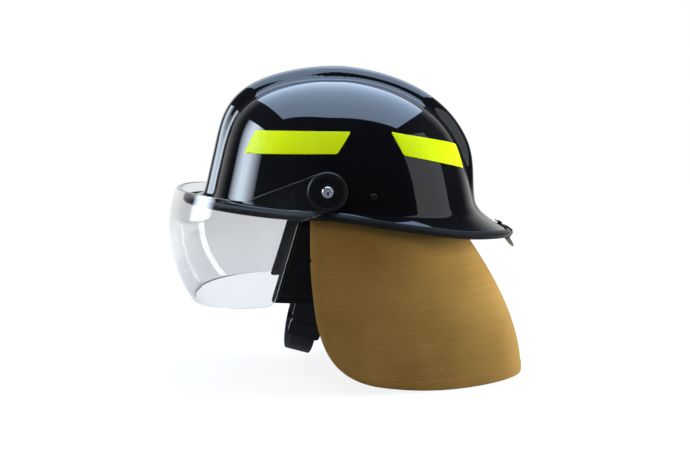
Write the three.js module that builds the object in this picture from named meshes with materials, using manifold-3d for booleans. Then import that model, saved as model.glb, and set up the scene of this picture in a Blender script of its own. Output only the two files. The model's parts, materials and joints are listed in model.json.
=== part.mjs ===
// Structural firefighter's helmet with a hinged clear face shield, a neck curtain, a headband on a
// strap suspension, a chin strap and a hanging ring.
// Millimetres. The front faces -Y, the wearer's left is +X, up is +Z. The origin is the middle of
// the headband, where the wearer's head is held.
import * as THREE from "three";
import { mergeVertices } from "three/addons/utils/BufferGeometryUtils.js";
import Module from "manifold-3d";

const wasm = await Module();
wasm.setup();

// ---------------------------------------------------------------- driving dimensions

const SEAT = 0.35; // space left between two pieces that rest on each other
const SLIDE_GAP = 0.4; // and between two that slide

// Crown: a dome about its own upright axis, with a raised ridge from brow to nape.
const CROWN_AXIS_Y = -9;
const CROWN_BASE_Z = -13;
const CROWN_HEIGHT = 139;
const CROWN_HALF_WIDTH = 112;
const CROWN_FRONT = 135.5;
const CROWN_REAR = 152;
const CROWN_PLAN_POWER = 2.15;
// How a wall rises: lean is the share of radius lost on the way up, square and round set its shoulder.
const FRONT_RISE = { lean: 0.238, square: 7.5, round: 1.74 };
const SIDE_RISE = { lean: 0.1, square: 3.4, round: 1.9 };
const REAR_RISE = { lean: 0.195, square: 4.05, round: 1.7 };
const SHELL_WALL = 3;

const RIDGE_TOP_HALF = 19;
const RIDGE_FOOT_HALF = 33;
const RIDGE_HEIGHT = 10.5;
const RIDGE_HEIGHT_BROW = 7.5;
const RIDGE_HEIGHT_NAPE = 1.5;

// Brim: from the crease at the crown's foot down and out to an edge that carries the trim.
const CREASE_NAPE_Z = -13;
const CREASE_BROW_RISE = 14;
const BRIM_SIDE_REACH = 4.5; // beyond the crown's widest, and the same to the front and rear
const BRIM_FRONT_REACH = 24.5;
const BRIM_REAR_REACH = 39;
const BRIM_EDGE_Z = -21.6;
const BRIM_EDGE_SLOPE = -0.1124;
const TRIM_GRIP = 4.6; // how far the trim reaches back over the edge
const TRIM_NOSE = 3; // and how far it stands beyond it
const TRIM_WALL = 1.55;
const TRIM_HALF_THICK = SHELL_WALL / 2 + SEAT + TRIM_WALL;

const REFLECTOR_THICK = 0.4;
// Corners of the left side's two reflectors, as [degrees round from the front, height], going round.
const REFLECTOR_FRONT = [
  [41.3, 69.5],
  [97.1, 68.5],
  [88.9, 46.5],
  [36.6, 46],
];
const REFLECTOR_REAR = [
  [120.7, 68],
  [163.1, 54],
  [162.7, 28.5],
  [124.8, 44.5],
];

// Impact liner, strap suspension and headband.
const LINER_GAP = 1;
const LINER_THICK = 13;
const LINER_TO_KEYS = 2; // from the keys' tops up to the liner's rim
const STRAP_WIDTH = 19;
const STRAP_THICK = 1.3;
const STRAP_TO_LINER = 9.8; // where a strap enters its key, in from the liner
const STRAP_TO_LINER_TOP = 18; // and at the crown
const STRAP_STACK_GAP = 0.8; // between two straps where they cross at the crown
const STRAP_AZIMUTHS = [0, 60, 120];
const KEY_WIDTH = 20;
const KEY_LIP = 4.2; // from the strap's slot to the key's inner face
const KEY_BOTTOM_Z = 18;
const KEY_TOP_Z = 32;
const LINER_RIM_Z = KEY_TOP_Z + LINER_TO_KEYS;
const LINER_DEPTH = SHELL_WALL + LINER_GAP + LINER_THICK;
const STRAP_TOP_Z = CROWN_BASE_Z + CROWN_HEIGHT - LINER_DEPTH - STRAP_TO_LINER_TOP;
const KEY_SLOT_IN = LINER_GAP + LINER_THICK + STRAP_TO_LINER;
const KEY_REACH = KEY_SLOT_IN + KEY_LIP;
const KEY_PLATE = 3;
const CROWN_PAD_RADIUS = 44;
const CROWN_PAD_THICK = 7;
const HEADBAND_HALF_WIDTH = 82;
const HEADBAND_FRONT = 104;
const HEADBAND_POWER = 2.5;
const HEADBAND_THICK = 1.6;
const HEADBAND_BOTTOM_Z = -14;
const HEADBAND_TOP_Z = 16;
const HEADBAND_END_DEG = 110;
const HOOKED_KEYS_DEG = [0, 60, 120, 240, 300];
const HOOK_WIDTH = 12;
const HOOK_THICK = 2.4;
const HOOK_BELOW_KEY_TOP = 6;
const BROW_PAD_THICK = 4;
const BROW_PAD_END_DEG = 68;

// Nape carriage: two straps that overlap behind the head, and the ratchet that draws them together.
const NAPE_ARM_FRONT_Y = 15;
const NAPE_ARM_REAR_Y = 50;
const NAPE_REAR_Y = 104;
const NAPE_POWER = 2.3;
const NAPE_STRAIGHT = 0.3; // the share of a strap that is its straight arm
const ARM_TOP_Z = 8;
const ARM_BOTTOM_Z = -10;
const RACK_HEIGHT = 7;
const NAPE_PAST_CENTRE = 1.09; // the strap's end, a little beyond the centre
const NAPE_STRAP_THICK = 1.6;
const NAPE_HALF_WIDTH = HEADBAND_HALF_WIDTH + NAPE_STRAP_THICK + SLIDE_GAP;
const RATCHET_Z = -20;
const RATCHET_HALF_WIDTH = 32;
const RATCHET_HALF_HEIGHT = 17;
const PINION_TIP = 5.2;
const PINION_ROOT = 3.6;
const PINION_TEETH = 10;
const PINION_SHAFT = 2.4;
const KNOB_RADIUS = 17.5;
const KNOB_DEPTH = 11;
const KNOB_LOBES = 12;
const KNOB_LOBE_DEPTH = 0.9;

// Face shield and its pivots. Positions across the helmet are stacked outwards from the shell.
const PIVOT_Y = -22;
const PIVOT_Z = 10.6;
const BRACKET_RADIUS = 15;
const BRACKET_STANDOFF = 9.9;
const BRACKET_FACE_X = CROWN_HALF_WIDTH + BRACKET_STANDOFF;
const WASHER_THICK = 0.8;
const WASHER_RADIUS = 13.5;
const SHIELD_THICK = 3.5;
const EAR_RADIUS = 19.4;
const SLEEVE_RADIUS = 3.8;
const DISC_RADIUS = 19.8;
const DISC_THICK = 4.2;
const SCREW_RADIUS = 2.4;
const SCREW_HEAD_RADIUS = 5.5;
const SCREW_HEAD_THICK = 2.6;
const SCREW_SOCKET_RADIUS = 2.9;
const NUT_RADIUS = 4.6;
const NUT_THICK = 4;
const SHIELD_SIDE_END_Y = -85;
const SHIELD_PLAN_POWER = 2.2;
const SHIELD_STRAIGHT = 0.34; // the share of a half of the shield that is its straight side
const SHIELD_FRONT_REACH = 42.5; // beyond the crown's front
const SHIELD_FRONT_Y = CROWN_AXIS_Y - CROWN_FRONT - SHIELD_FRONT_REACH;
const SHIELD_BULGE_Z = -38;
const SHIELD_BULGE_RADIUS = 118;
const SHIELD_TOP_FRONT_Z = 8.5;
const SHIELD_TOP_EAR = [-103, 1.4]; // where the ear's upper edge meets the top edge
const SHIELD_REAR_TOP = [-50.4, -19.5];
const SHIELD_REAR_BOTTOM = [-75, -103];
const SHIELD_BOTTOM_FRONT = [-160, -108.5];
const SHIELD_CORNER = 9;

// Neck curtain, its lining and the strip that holds them.
const STRIP_THICK = 1.4;
const STRIP_TOP_Z = 9.5;
const STRIP_BOTTOM_Z = -8.5;
const STRIP_FRONT_Y = -15;
const HUNG_START_DEG = 48;
const CURTAIN_TOP_Z = 4.6;
const CURTAIN_THICK = 1.6;
const LINING_THICK = 1.2;
const LAYER_GAP = 0.5;
const FLARE_START_Z = -50;
const HEM_Z = -196;
const HEM_HALF_WIDTH = CROWN_HALF_WIDTH + 2;
const HEM_FRONT = CROWN_HALF_WIDTH + 22;
const HEM_REAR = CROWN_REAR + 51;
const FLARE_POWER = 1.77;
const CURTAIN_FRONT_Y = -38;
const CURTAIN_CORNER_Z = -120;
const HEM_CORNER_Y = 25;
const LINING_FLAP_TOP_Y = -53;
const LINING_FLAP_TIP = [-78, -104];

// Rivets through the shell wall: the chin strap's anchors, and the strip's own.
const RIVET_RADIUS = 2;
const RIVET_HEAD_RADIUS = 3.6;
const RIVET_HEAD_THICK = 1.2;
const ANCHOR_Y = -8;
const ANCHOR_Z = -3;
const STRIP_RIVET_Y = 25;
const STRIP_RIVET_Z = 3.5;

// Chin strap: a loop that hangs from its two anchors, leaning forwards.
const WEB_WIDTH = 25;
const WEB_THICK = 1.7;
const LOOP_LEAN_DEG = 15;
const LOOP_TOP_X = CROWN_HALF_WIDTH - 16;
const LOOP_LEG_X = CROWN_HALF_WIDTH - 33;
const LOOP_BOW = 24; // how far the loop's round bottom hangs below its straight legs
const ANCHOR_PLATE_THICK = 1.6;
const SWING_ROOM = 2.1; // between the lining and the webbing that swings past it
const ANCHOR_SLOT_DEPTH = 15;
const BUCKLE_RIM = 4; // the buckle is this much wider than the webbing on each side
const BUCKLE_WIDTH = WEB_WIDTH + 2 * BUCKLE_RIM;
const BUCKLE_THICK = 8.5;
const BUCKLE_WALL = 2;
const BUCKLE_CORNER = 4;
const SOCKET_LENGTH = 24;
const PLUG_LENGTH = 16;
const TONGUE_LENGTH = 18;
const TONGUE_WIDTH = 7;
const BUCKLE_SIDE_WALL = 3;
const CATCH_LENGTH = 6;
const CATCH_WIDTH = 4.6;
const CATCH_MIDDLE = 11; // along the buckle from where its halves meet
const BUCKLE_CATCH_IN = 0.8; // from the buckle's side in to the catch
const PRONG_WIDTH = 3.4;
const PRONG_LAP = 0.8; // how far a prong runs into its catch
const WEB_GRIP = 4; // how far the webbing's end sits in each half of the buckle
const BUCKLE_JOIN_DEPTH = 128; // below the anchors, where socket meets plug
const LOOP_LEG_DEPTH = BUCKLE_JOIN_DEPTH + PLUG_LENGTH + 2;
const SLIDE_HEIGHT = 16;
const SLIDE_THICK = 6;
const SLIDE_DEPTH = 70;

// Hanging ring on a clip over the brim's edge at the nape.
const CLIP_WIDTH = 16;
const CLIP_THICK = 1.2;
const CLIP_REACH = 13;
const RING_HALF_WIDTH = 13;
const RING_DROP = 12.5;
const RING_SHANK = 3; // straight part of the ring's sides
const RING_WIRE = 1.3;
const RING_LEAN_DEG = 35;

// Mesh fineness.
const AROUND = 44;
const UP_OUTER = 11;
const UP_INNER = 8;
const ROUND = 20;

// ---------------------------------------------------------------- materials

const paint = (color, roughness, metalness = 0, more = {}) =>
  new THREE.MeshStandardMaterial({ color, roughness, metalness, ...more });
const GLOSS_BLACK = paint(0x0b0c0f, 0.12);
const TRIM_BLACK = paint(0x17191c, 0.5);
const NYLON_BLACK = paint(0x101113, 0.55);
const LIME = paint(0xd8f218, 0.45);
const FOAM = paint(0x2b2c2e, 0.95);
const WEBBING = paint(0x141519, 0.85);
const LEATHER = paint(0x1d1a18, 0.7);
const CLEAR = paint(0xeef3f5, 0.04, 0, { transparent: true, opacity: 0.25 });
const STEEL = paint(0xb9bcbf, 0.3, 1);
const TAN_CLOTH = paint(0x9a763f, 0.9);
const BLACK_CLOTH = paint(0x0e0e10, 0.92);

// ---------------------------------------------------------------- geometry helpers

const { lerp, degToRad, smoothstep } = THREE.MathUtils;
const span = (count, from = 0, to = 1) =>
  Array.from({ length: count }, (_, i) => lerp(from, to, i / (count - 1)));
const middle = (ring) => [0, 1, 2].map((k) => ring.reduce((s, p) => s + p[k], 0) / ring.length);

// A closed geometry from points and triangles, turned so that its faces point out.
function closed(points, faces) {
  let volume = 0;
  const [a, b, c] = [new THREE.Vector3(), new THREE.Vector3(), new THREE.Vector3()];
  for (let i = 0; i < faces.length; i += 3) {
    a.set(...points[faces[i]]);
    b.set(...points[faces[i + 1]]);
    c.set(...points[faces[i + 2]]);
    volume += a.dot(b.cross(c));
  }
  const index = volume < 0 ? faces.slice().reverse() : faces;
  return new THREE.BufferGeometry()
    .setAttribute("position", new THREE.Float32BufferAttribute(points.flat(), 3))
    .setIndex(index);
}

const quad = (a, b, c, d) => [a, b, c, a, c, d];

// Joins rings of equally many points. With wrap the last ring meets the first; otherwise each end
// is closed to the pole given for it, or to the middle of its ring.
function loft(rings, { wrap = false, poles = [] } = {}) {
  const n = rings[0].length;
  const points = rings.flat();
  const faces = [];
  for (let i = 0; i < rings.length - (wrap ? 0 : 1); i++) {
    const a = i * n;
    const b = ((i + 1) % rings.length) * n;
    for (let j = 0; j < n; j++) {
      const k = (j + 1) % n;
      faces.push(...quad(a + j, a + k, b + k, b + j));
    }
  }
  if (!wrap) {
    const end = (rings.length - 1) * n;
    const first = points.push(poles[0] ?? middle(rings[0])) - 1;
    const last = points.push(poles[1] ?? middle(rings.at(-1))) - 1;
    for (let j = 0; j < n; j++) {
      const k = (j + 1) % n;
      faces.push(k, j, first, end + j, end + k, last);
    }
  }
  return closed(points, faces);
}

// A sheet with thickness, between two grids of points of the same shape.
function sheet(outer, inner) {
  const nu = outer.length;
  const nv = outer[0].length;
  const o = (i, j) => i * nv + j;
  const q = (i, j) => nu * nv + i * nv + j;
  const faces = [];
  for (let i = 0; i < nu - 1; i++) {
    for (let j = 0; j < nv - 1; j++) {
      faces.push(...quad(o(i, j), o(i + 1, j), o(i + 1, j + 1), o(i, j + 1)));
      faces.push(...quad(q(i, j), q(i, j + 1), q(i + 1, j + 1), q(i + 1, j)));
    }
    faces.push(...quad(o(i, 0), q(i, 0), q(i + 1, 0), o(i + 1, 0)));
    faces.push(...quad(o(i, nv - 1), o(i + 1, nv - 1), q(i + 1, nv - 1), q(i, nv - 1)));
  }
  for (let j = 0; j < nv - 1; j++) {
    faces.push(...quad(o(0, j), o(0, j + 1), q(0, j + 1), q(0, j)));
    faces.push(...quad(o(nu - 1, j), q(nu - 1, j), q(nu - 1, j + 1), o(nu - 1, j + 1)));
  }
  return closed([...outer.flat(), ...inner.flat()], faces);
}

// A sheet whose place is at(u, v, depth), with depth from 0 outside to thick inside.
function layer(us, vs, thick, at) {
  const grid = (depth) => us.map((u) => vs.map((v) => at(u, v, depth)));
  return sheet(grid(0), grid(thick));
}

function solid(geometry) {
  const plain = geometry.index ? geometry.toNonIndexed() : geometry;
  const bare = new THREE.BufferGeometry().setAttribute("position", plain.getAttribute("position"));
  const merged = mergeVertices(bare, 1e-4);
  return new wasm.Manifold(
    new wasm.Mesh({
      numProp: 3,
      vertProperties: merged.attributes.position.array,
      triVerts: new Uint32Array(merged.index.array),
    }),
  );
}

function geometryOf(made) {
  const mesh = made.getMesh();
  return new THREE.BufferGeometry()
    .setAttribute("position", new THREE.BufferAttribute(mesh.vertProperties, 3))
    .setIndex(new THREE.BufferAttribute(mesh.triVerts, 1));
}

const cut = (geometry, ...tools) =>
  geometryOf(tools.reduce((left, tool) => left.subtract(solid(tool)), solid(geometry)));
const join = (geometry, ...more) =>
  geometryOf(more.reduce((whole, one) => whole.add(solid(one)), solid(geometry)));
const common = (a, b) => geometryOf(solid(a).intersect(solid(b)));

// The same piece on the wearer's right.
function mirrored(geometry) {
  const plain = geometry.index ? geometry.toNonIndexed() : geometry;
  const from = plain.getAttribute("position");
  const points = [];
  for (let i = 0; i < from.count; i++) points.push([-from.getX(i), from.getY(i), from.getZ(i)]);
  return closed(
    points,
    points.map((_, i) => i),
  );
}

// A side view's outline, with x as the helmet's y and y as its z, pushed across from x0 to x1.
function acrossX(shape, x0, x1, curveSegments = 8) {
  const g = new THREE.ExtrudeGeometry(shape, { depth: x1 - x0, bevelEnabled: false, curveSegments });
  const turn = new THREE.Matrix4().makeBasis(
    new THREE.Vector3(0, 1, 0),
    new THREE.Vector3(0, 0, 1),
    new THREE.Vector3(1, 0, 0),
  );
  return g.applyMatrix4(turn).translate(x0, 0, 0);
}

const outline = (points) => new THREE.Shape(points.map(([x, y]) => new THREE.Vector2(x, y)));

// A round bar along X through (y, z).
function barX(radius, x0, x1, y, z, segments = ROUND) {
  return new THREE.CylinderGeometry(radius, radius, x1 - x0, segments)
    .rotateZ(-Math.PI / 2)
    .translate((x0 + x1) / 2, y, z);
}

// A turned piece about the X axis through (y, z). Its profile is [radius, x] from axis to axis.
function turnedX(profile, y, z, segments = ROUND) {
  const rings = profile
    .filter(([r]) => r > 0)
    .map(([r, x]) =>
      span(segments + 1, 0, 2 * Math.PI)
        .slice(0, -1)
        .map((a) => [x, y + r * Math.cos(a), z + r * Math.sin(a)]),
    );
  return loft(rings, {
    poles: [
      [profile[0][1], y, z],
      [profile.at(-1)[1], y, z],
    ],
  });
}

const block = (x, y, z, place = [0, 0, 0]) =>
  new THREE.BoxGeometry(x, y, z).translate(...place);

const helmet = new THREE.Group();

function put(name, geometry, material, parent = helmet) {
  const mesh = new THREE.Mesh(geometry, material);
  mesh.name = name;
  parent.add(mesh);
  return mesh;
}

function putPair(name, geometry, material) {
  put(name + "_left", geometry, material);
  put(name + "_right", mirrored(geometry), material);
}

// ---------------------------------------------------------------- crown surface

const heading = (azimuth) => [Math.sin(azimuth), -Math.cos(azimuth)];

// Radius of an oval in a direction, with its own reach to the front and to the rear.
function ovalRadius(azimuth, halfWidth, front, rear) {
  const [s, c] = [Math.abs(Math.sin(azimuth)), Math.cos(azimuth)];
  const reach = c > 0 ? front : rear;
  const p = CROWN_PLAN_POWER;
  return ((s / halfWidth) ** p + (Math.abs(c) / reach) ** p) ** (-1 / p);
}

// Radius and height on the dome at a share of its height, inset from the outside.
function domeAt(azimuth, share, inset) {
  const c = Math.cos(azimuth);
  const front = Math.max(0, c) ** 2;
  const rear = Math.max(0, -c) ** 2;
  const blend = (key) =>
    front * FRONT_RISE[key] + rear * REAR_RISE[key] + (1 - front - rear) * SIDE_RISE[key];
  const plan = ovalRadius(azimuth, CROWN_HALF_WIDTH, CROWN_FRONT, CROWN_REAR) - inset;
  const shoulder = Math.max(0, 1 - share ** blend("square")) ** (1 / blend("round"));
  return [
    plan * (1 - blend("lean") * share) * shoulder,
    CROWN_BASE_Z + (CROWN_HEIGHT - inset) * share,
  ];
}

const shareAt = (z, inset) => (z - CROWN_BASE_Z) / (CROWN_HEIGHT - inset);

// Radius of the dome's wall at a height.
const wallRadius = (azimuth, z, inset) => domeAt(azimuth, shareAt(z, inset), inset)[0];

// Evenly spaced points up one wall of the dome, from a height to just short of the pole.
function domeRise(azimuth, fromZ, count, inset) {
  const start = shareAt(fromZ, inset);
  const dense = span(160, 0, 1).map((t) => domeAt(azimuth, lerp(start, 1, 1 - (1 - t) ** 2.2), inset));
  const along = [0];
  for (let i = 1; i < dense.length; i++) {
    along.push(along[i - 1] + Math.hypot(dense[i][0] - dense[i - 1][0], dense[i][1] - dense[i - 1][1]));
  }
  return span(count + 1, 0, along.at(-1))
    .slice(0, -1)
    .map((want) => {
      const i = Math.min(Math.max(1, along.findIndex((s) => s >= want)), dense.length - 1);
      const t = (want - along[i - 1]) / (along[i] - along[i - 1]);
      return [0, 1].map((k) => lerp(dense[i - 1][k], dense[i][k], t));
    });
}

// How far the ridge stands above the dome at a place on it.
function ridgeAt(azimuth, x, z) {
  const across = 1 - smoothstep(Math.abs(x), RIDGE_TOP_HALF, RIDGE_FOOT_HALF);
  const along =
    Math.cos(azimuth) > 0
      ? lerp(RIDGE_HEIGHT_BROW, RIDGE_HEIGHT, smoothstep(z, 40, 115))
      : lerp(RIDGE_HEIGHT_NAPE, RIDGE_HEIGHT, smoothstep(z, CROWN_BASE_Z, 55));
  return across * along;
}

const onAxis = (azimuth, r, z) => {
  const [x, y] = heading(azimuth);
  return [x * r, CROWN_AXIS_Y + y * r, z];
};

// A point of a wall with the ridge added along the wall's own normal.
function withRidge(azimuth, rise, i) {
  const [r, z] = rise[i];
  const [below, above] = [rise[Math.max(0, i - 1)], rise[Math.min(rise.length - 1, i + 1)]];
  const [dr, dz] = [above[0] - below[0], above[1] - below[1]];
  const length = Math.hypot(dr, dz);
  const h = ridgeAt(azimuth, Math.sin(azimuth) * r, z);
  return onAxis(azimuth, r + (h * dz) / length, z - (h * dr) / length);
}

const creaseZ = (y) => {
  const back = CROWN_AXIS_Y + CROWN_REAR;
  const share = (back - y) / (CROWN_REAR + CROWN_FRONT);
  return CREASE_NAPE_Z + CREASE_BROW_RISE * Math.max(0, share) ** 3.2;
};

const edgeZ = (y) =>
  BRIM_EDGE_Z +
  BRIM_EDGE_SLOPE * y +
  4 * Math.exp(-(((y + 12) / 40) ** 2)) -
  2.4 * Math.exp(-(((y - 122) / 42) ** 2));

// Azimuths round the crown, closer together where the ridge crosses the brow and the nape.
const azimuths = (count) =>
  span(count + 1, 0, 2 * Math.PI)
    .slice(0, -1)
    .map((u) => u - 0.22 * Math.sin(2 * u));

// The brim in one upright plane: the crease, the edge, and the directions along and across it.
function brimAt(azimuth, inset = 0) {
  const foot = ovalRadius(azimuth, CROWN_HALF_WIDTH, CROWN_FRONT, CROWN_REAR);
  const creaseHeight = creaseZ(CROWN_AXIS_Y - foot * Math.cos(azimuth));
  const crease = [wallRadius(azimuth, creaseHeight, inset), creaseHeight];
  const reach = ovalRadius(
    azimuth,
    CROWN_HALF_WIDTH + BRIM_SIDE_REACH,
    CROWN_FRONT + BRIM_FRONT_REACH,
    CROWN_REAR + BRIM_REAR_REACH,
  );
  const edge = [reach, edgeZ(CROWN_AXIS_Y - reach * Math.cos(azimuth))];
  const length = Math.hypot(edge[0] - crease[0], edge[1] - crease[1]);
  const out = [(edge[0] - crease[0]) / length, (edge[1] - crease[1]) / length];
  return { crease, edge, length, out, up: [-out[1], out[0]] };
}

const RING_AZIMUTHS = azimuths(AROUND);
const risen = (azimuth, count, inset) => domeRise(azimuth, brimAt(azimuth).crease[1], count, inset);

// ---------------------------------------------------------------- shell, trim, reflectors

function shellRings() {
  const bySide = RING_AZIMUTHS.map((azimuth) => {
    const brim = brimAt(azimuth);
    const outerRise = risen(azimuth, UP_OUTER, 0);
    const outer = outerRise.map((_, i) => withRidge(azimuth, outerRise, i)).reverse();
    const onBrim = (back, depth) =>
      onAxis(azimuth, ...brim.edge.map((v, k) => v - brim.out[k] * back - brim.up[k] * depth));
    const brimOuter = [TRIM_GRIP, 0].map((back) => onBrim(back, 0));
    const brimInner = [0, TRIM_GRIP].map((back) => onBrim(back, SHELL_WALL));
    const innerRise = risen(azimuth, UP_INNER, SHELL_WALL);
    const inner = innerRise.map((_, i) => withRidge(azimuth, innerRise, i));
    return [...outer, ...brimOuter, ...brimInner, ...inner];
  });
  return bySide[0].map((_, level) => bySide.map((column) => column[level]));
}

const topOf = (inset, ridge) => [0, CROWN_AXIS_Y, CROWN_BASE_Z + CROWN_HEIGHT - inset + ridge];

function outerShell() {
  const raw = loft(shellRings(), {
    poles: [topOf(0, RIDGE_HEIGHT), topOf(SHELL_WALL, RIDGE_HEIGHT)],
  });
  const [inside, outside] = [CROWN_HALF_WIDTH - 20, CROWN_HALF_WIDTH + 10];
  const sideHoles = [
    barX(SCREW_RADIUS + SEAT, inside, outside, PIVOT_Y, PIVOT_Z, 12),
    barX(RIVET_RADIUS + SEAT, inside, outside, ANCHOR_Y, ANCHOR_Z, 12),
    barX(RIVET_RADIUS + SEAT, inside, outside, STRIP_RIVET_Y, STRIP_RIVET_Z, 12),
  ];
  return cut(raw, ...sideHoles, ...sideHoles.map(mirrored), alongBrim(clipRivetHole()));
}

// The trim is one channel: its section is written outwards (a) and upwards (b) from the brim's edge.
function edgeTrim() {
  const grip = SHELL_WALL / 2 + SEAT;
  const h = TRIM_HALF_THICK;
  const nose = TRIM_NOSE;
  const section = [
    [-TRIM_GRIP, grip],
    [SEAT, grip],
    [SEAT, -grip],
    [-TRIM_GRIP, -grip],
    [-TRIM_GRIP, -h],
    [nose * 0.35, -h],
    [nose * 0.85, -h * 0.6],
    [nose, 0],
    [nose * 0.85, h * 0.6],
    [nose * 0.35, h],
    [-TRIM_GRIP, h],
  ];
  const rings = RING_AZIMUTHS.map((azimuth) => {
    const { edge, out, up } = brimAt(azimuth);
    const mid = edge.map((v, k) => v - up[k] * (SHELL_WALL / 2));
    return section.map(([a, b]) =>
      onAxis(azimuth, mid[0] + out[0] * a + up[0] * b, mid[1] + out[1] * a + up[1] * b),
    );
  });
  return loft(rings, { wrap: true });
}

// Where the crown's left side lies behind a point of the side view, at an offset outwards.
function crownSideX(y, z, outset) {
  let [low, high] = [0, Math.PI];
  for (let i = 0; i < 40; i++) {
    const azimuth = (low + high) / 2;
    const there = CROWN_AXIS_Y - Math.cos(azimuth) * wallRadius(azimuth, z, -outset);
    if (there < y) low = azimuth;
    else high = azimuth;
  }
  return Math.sin(low) * wallRadius(low, z, -outset);
}

// The least or the most of that over a square patch of the side view.
const crownPatchX = (pick, y, z, reach, outset) => {
  const places = [-reach, 0, reach].flatMap((a) => [-reach, 0, reach].map((b) => [y + a, z + b]));
  return pick(...places.map(([v, w]) => crownSideX(v, w, outset)));
};

function reflector(corners) {
  const [frontTop, rearTop, rearBottom, frontBottom] = corners.map(([deg, z]) => [degToRad(deg), z]);
  const place = (u, v) =>
    [0, 1].map((k) =>
      lerp(lerp(frontTop[k], rearTop[k], u), lerp(frontBottom[k], rearBottom[k], u), v),
    );
  return layer(span(9), span(4), REFLECTOR_THICK, (u, v, depth) => {
    const [azimuth, z] = place(u, v);
    return onAxis(azimuth, wallRadius(azimuth, z, depth - REFLECTOR_THICK - SEAT), z);
  });
}

// ---------------------------------------------------------------- liner and suspension

// The crown without its ridge as one full block, inset from the outside, to shape what lies against it.
function crownBlank(inset, count = UP_INNER) {
  const sides = RING_AZIMUTHS.map((azimuth) =>
    risen(azimuth, count, inset).map(([r, z]) => onAxis(azimuth, r, z)),
  );
  const levels = sides[0].map((_, level) => sides.map((column) => column[level]));
  return loft(levels, { poles: [[0, CROWN_AXIS_Y, CROWN_BASE_Z], topOf(inset, 0)] });
}

function impactLiner() {
  const outside = SHELL_WALL + LINER_GAP;
  const deep = 80;
  const below = block(400, 400, deep, [0, 0, LINER_RIM_Z - deep / 2]);
  return cut(crownBlank(outside), crownBlank(LINER_DEPTH, UP_INNER - 2), below);
}

// A side view in an upright plane through the crown's axis, as [radius, z], given a width across.
function acrossPlane(points, azimuthDeg, width) {
  const [x, y] = heading(degToRad(azimuthDeg));
  const turn = new THREE.Matrix4().makeBasis(
    new THREE.Vector3(x, y, 0),
    new THREE.Vector3(0, 0, 1),
    new THREE.Vector3(y, -x, 0),
  );
  return new THREE.ExtrudeGeometry(outline(points), { depth: width, bevelEnabled: false })
    .translate(0, 0, -width / 2)
    .applyMatrix4(turn)
    .translate(0, CROWN_AXIS_Y, 0);
}

const keyBack = (azimuthDeg) => wallRadius(degToRad(azimuthDeg), KEY_BOTTOM_Z, SHELL_WALL + SEAT);
const KEY_SLOT_WIDTH = STRAP_THICK + 2 * SEAT;

// A key stands on the shell's wall and holds a strap in an upright slot near its inner end.
function suspensionKey(azimuthDeg) {
  const back = keyBack(azimuthDeg);
  const [low, top] = [KEY_BOTTOM_Z, KEY_TOP_Z];
  const [slotOut, slotIn] = [back - KEY_SLOT_IN, back - KEY_SLOT_IN - KEY_SLOT_WIDTH];
  const section = [
    [back + 8, low],
    [back + 8, top],
    [back - KEY_PLATE - 2, top],
    [back - KEY_PLATE - 2, low + KEY_PLATE],
    [slotOut + 4, low + KEY_PLATE],
    [slotOut + 2, top - 4],
    [slotOut, top - 4],
    [slotOut, low + KEY_PLATE],
    [slotIn, low + KEY_PLATE],
    [slotIn, top - 4],
    [back - KEY_REACH, top - 4],
    [back - KEY_REACH, low],
  ];
  return common(acrossPlane(section, azimuthDeg, KEY_WIDTH), crownBlank(SHELL_WALL + SEAT));
}

// A crown strap runs from one key's slot over the head to the key opposite.
function crownStrap(azimuthDeg, order) {
  const [here, there] = [azimuthDeg, azimuthDeg + 180].map(
    (deg) => keyBack(deg) - KEY_SLOT_IN - KEY_SLOT_WIDTH / 2,
  );
  const start = KEY_BOTTOM_Z + KEY_PLATE + 1;
  const top = STRAP_TOP_Z + order * (STRAP_THICK + STRAP_STACK_GAP);
  const arch = span(21, 0, Math.PI).map((t) => {
    const out = Math.sign(Math.cos(t)) * Math.abs(Math.cos(t)) ** 0.9;
    return [out * (out > 0 ? here : there), lerp(KEY_TOP_Z - 3, top, Math.sin(t) ** 0.9)];
  });
  const path = [[here, start], ...arch, [-there, start]];
  const [x, y] = heading(degToRad(azimuthDeg));
  const half = [(STRAP_WIDTH - 1) / 2, STRAP_THICK / 2];
  const rings = path.map(([out, z], i) => {
    const [before, after] = [path[Math.max(0, i - 1)], path[Math.min(path.length - 1, i + 1)]];
    const [du, dz] = [after[0] - before[0], after[1] - before[1]];
    const length = Math.hypot(du, dz);
    const corners = [
      [1, 1],
      [1, -1],
      [-1, -1],
      [-1, 1],
    ];
    return corners.map(([across, thick]) => {
      const side = across * half[0];
      const r = out + (thick * half[1] * dz) / length;
      return [x * r - y * side, CROWN_AXIS_Y + y * r + x * side, z - (thick * half[1] * du) / length];
    });
  });
  return loft(rings);
}

function crownPad() {
  const top = STRAP_TOP_Z - STRAP_THICK / 2 - SEAT;
  const profile = [
    [0, top - CROWN_PAD_THICK - 2],
    [CROWN_PAD_RADIUS * 0.6, top - CROWN_PAD_THICK - 3.4],
    [CROWN_PAD_RADIUS * 0.94, top - CROWN_PAD_THICK - 5],
    [CROWN_PAD_RADIUS, top - CROWN_PAD_THICK - 2],
    [CROWN_PAD_RADIUS * 0.94, top - CROWN_PAD_THICK + 0.4],
    [CROWN_PAD_RADIUS * 0.6, top - 2.4],
    [0, top],
  ].map(([r, z]) => new THREE.Vector2(r, z));
  return new THREE.LatheGeometry(profile, ROUND)
    .rotateX(Math.PI / 2)
    .translate(0, CROWN_AXIS_Y, 0);
}

// The headband's oval, at an angle from the front and an offset outwards.
function headbandAt(angle, outset) {
  const arm = (v) => Math.sign(v) * Math.abs(v) ** (2 / HEADBAND_POWER);
  return [
    (HEADBAND_HALF_WIDTH + outset) * arm(Math.sin(angle)),
    -(HEADBAND_FRONT + outset) * arm(Math.cos(angle)),
  ];
}

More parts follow.
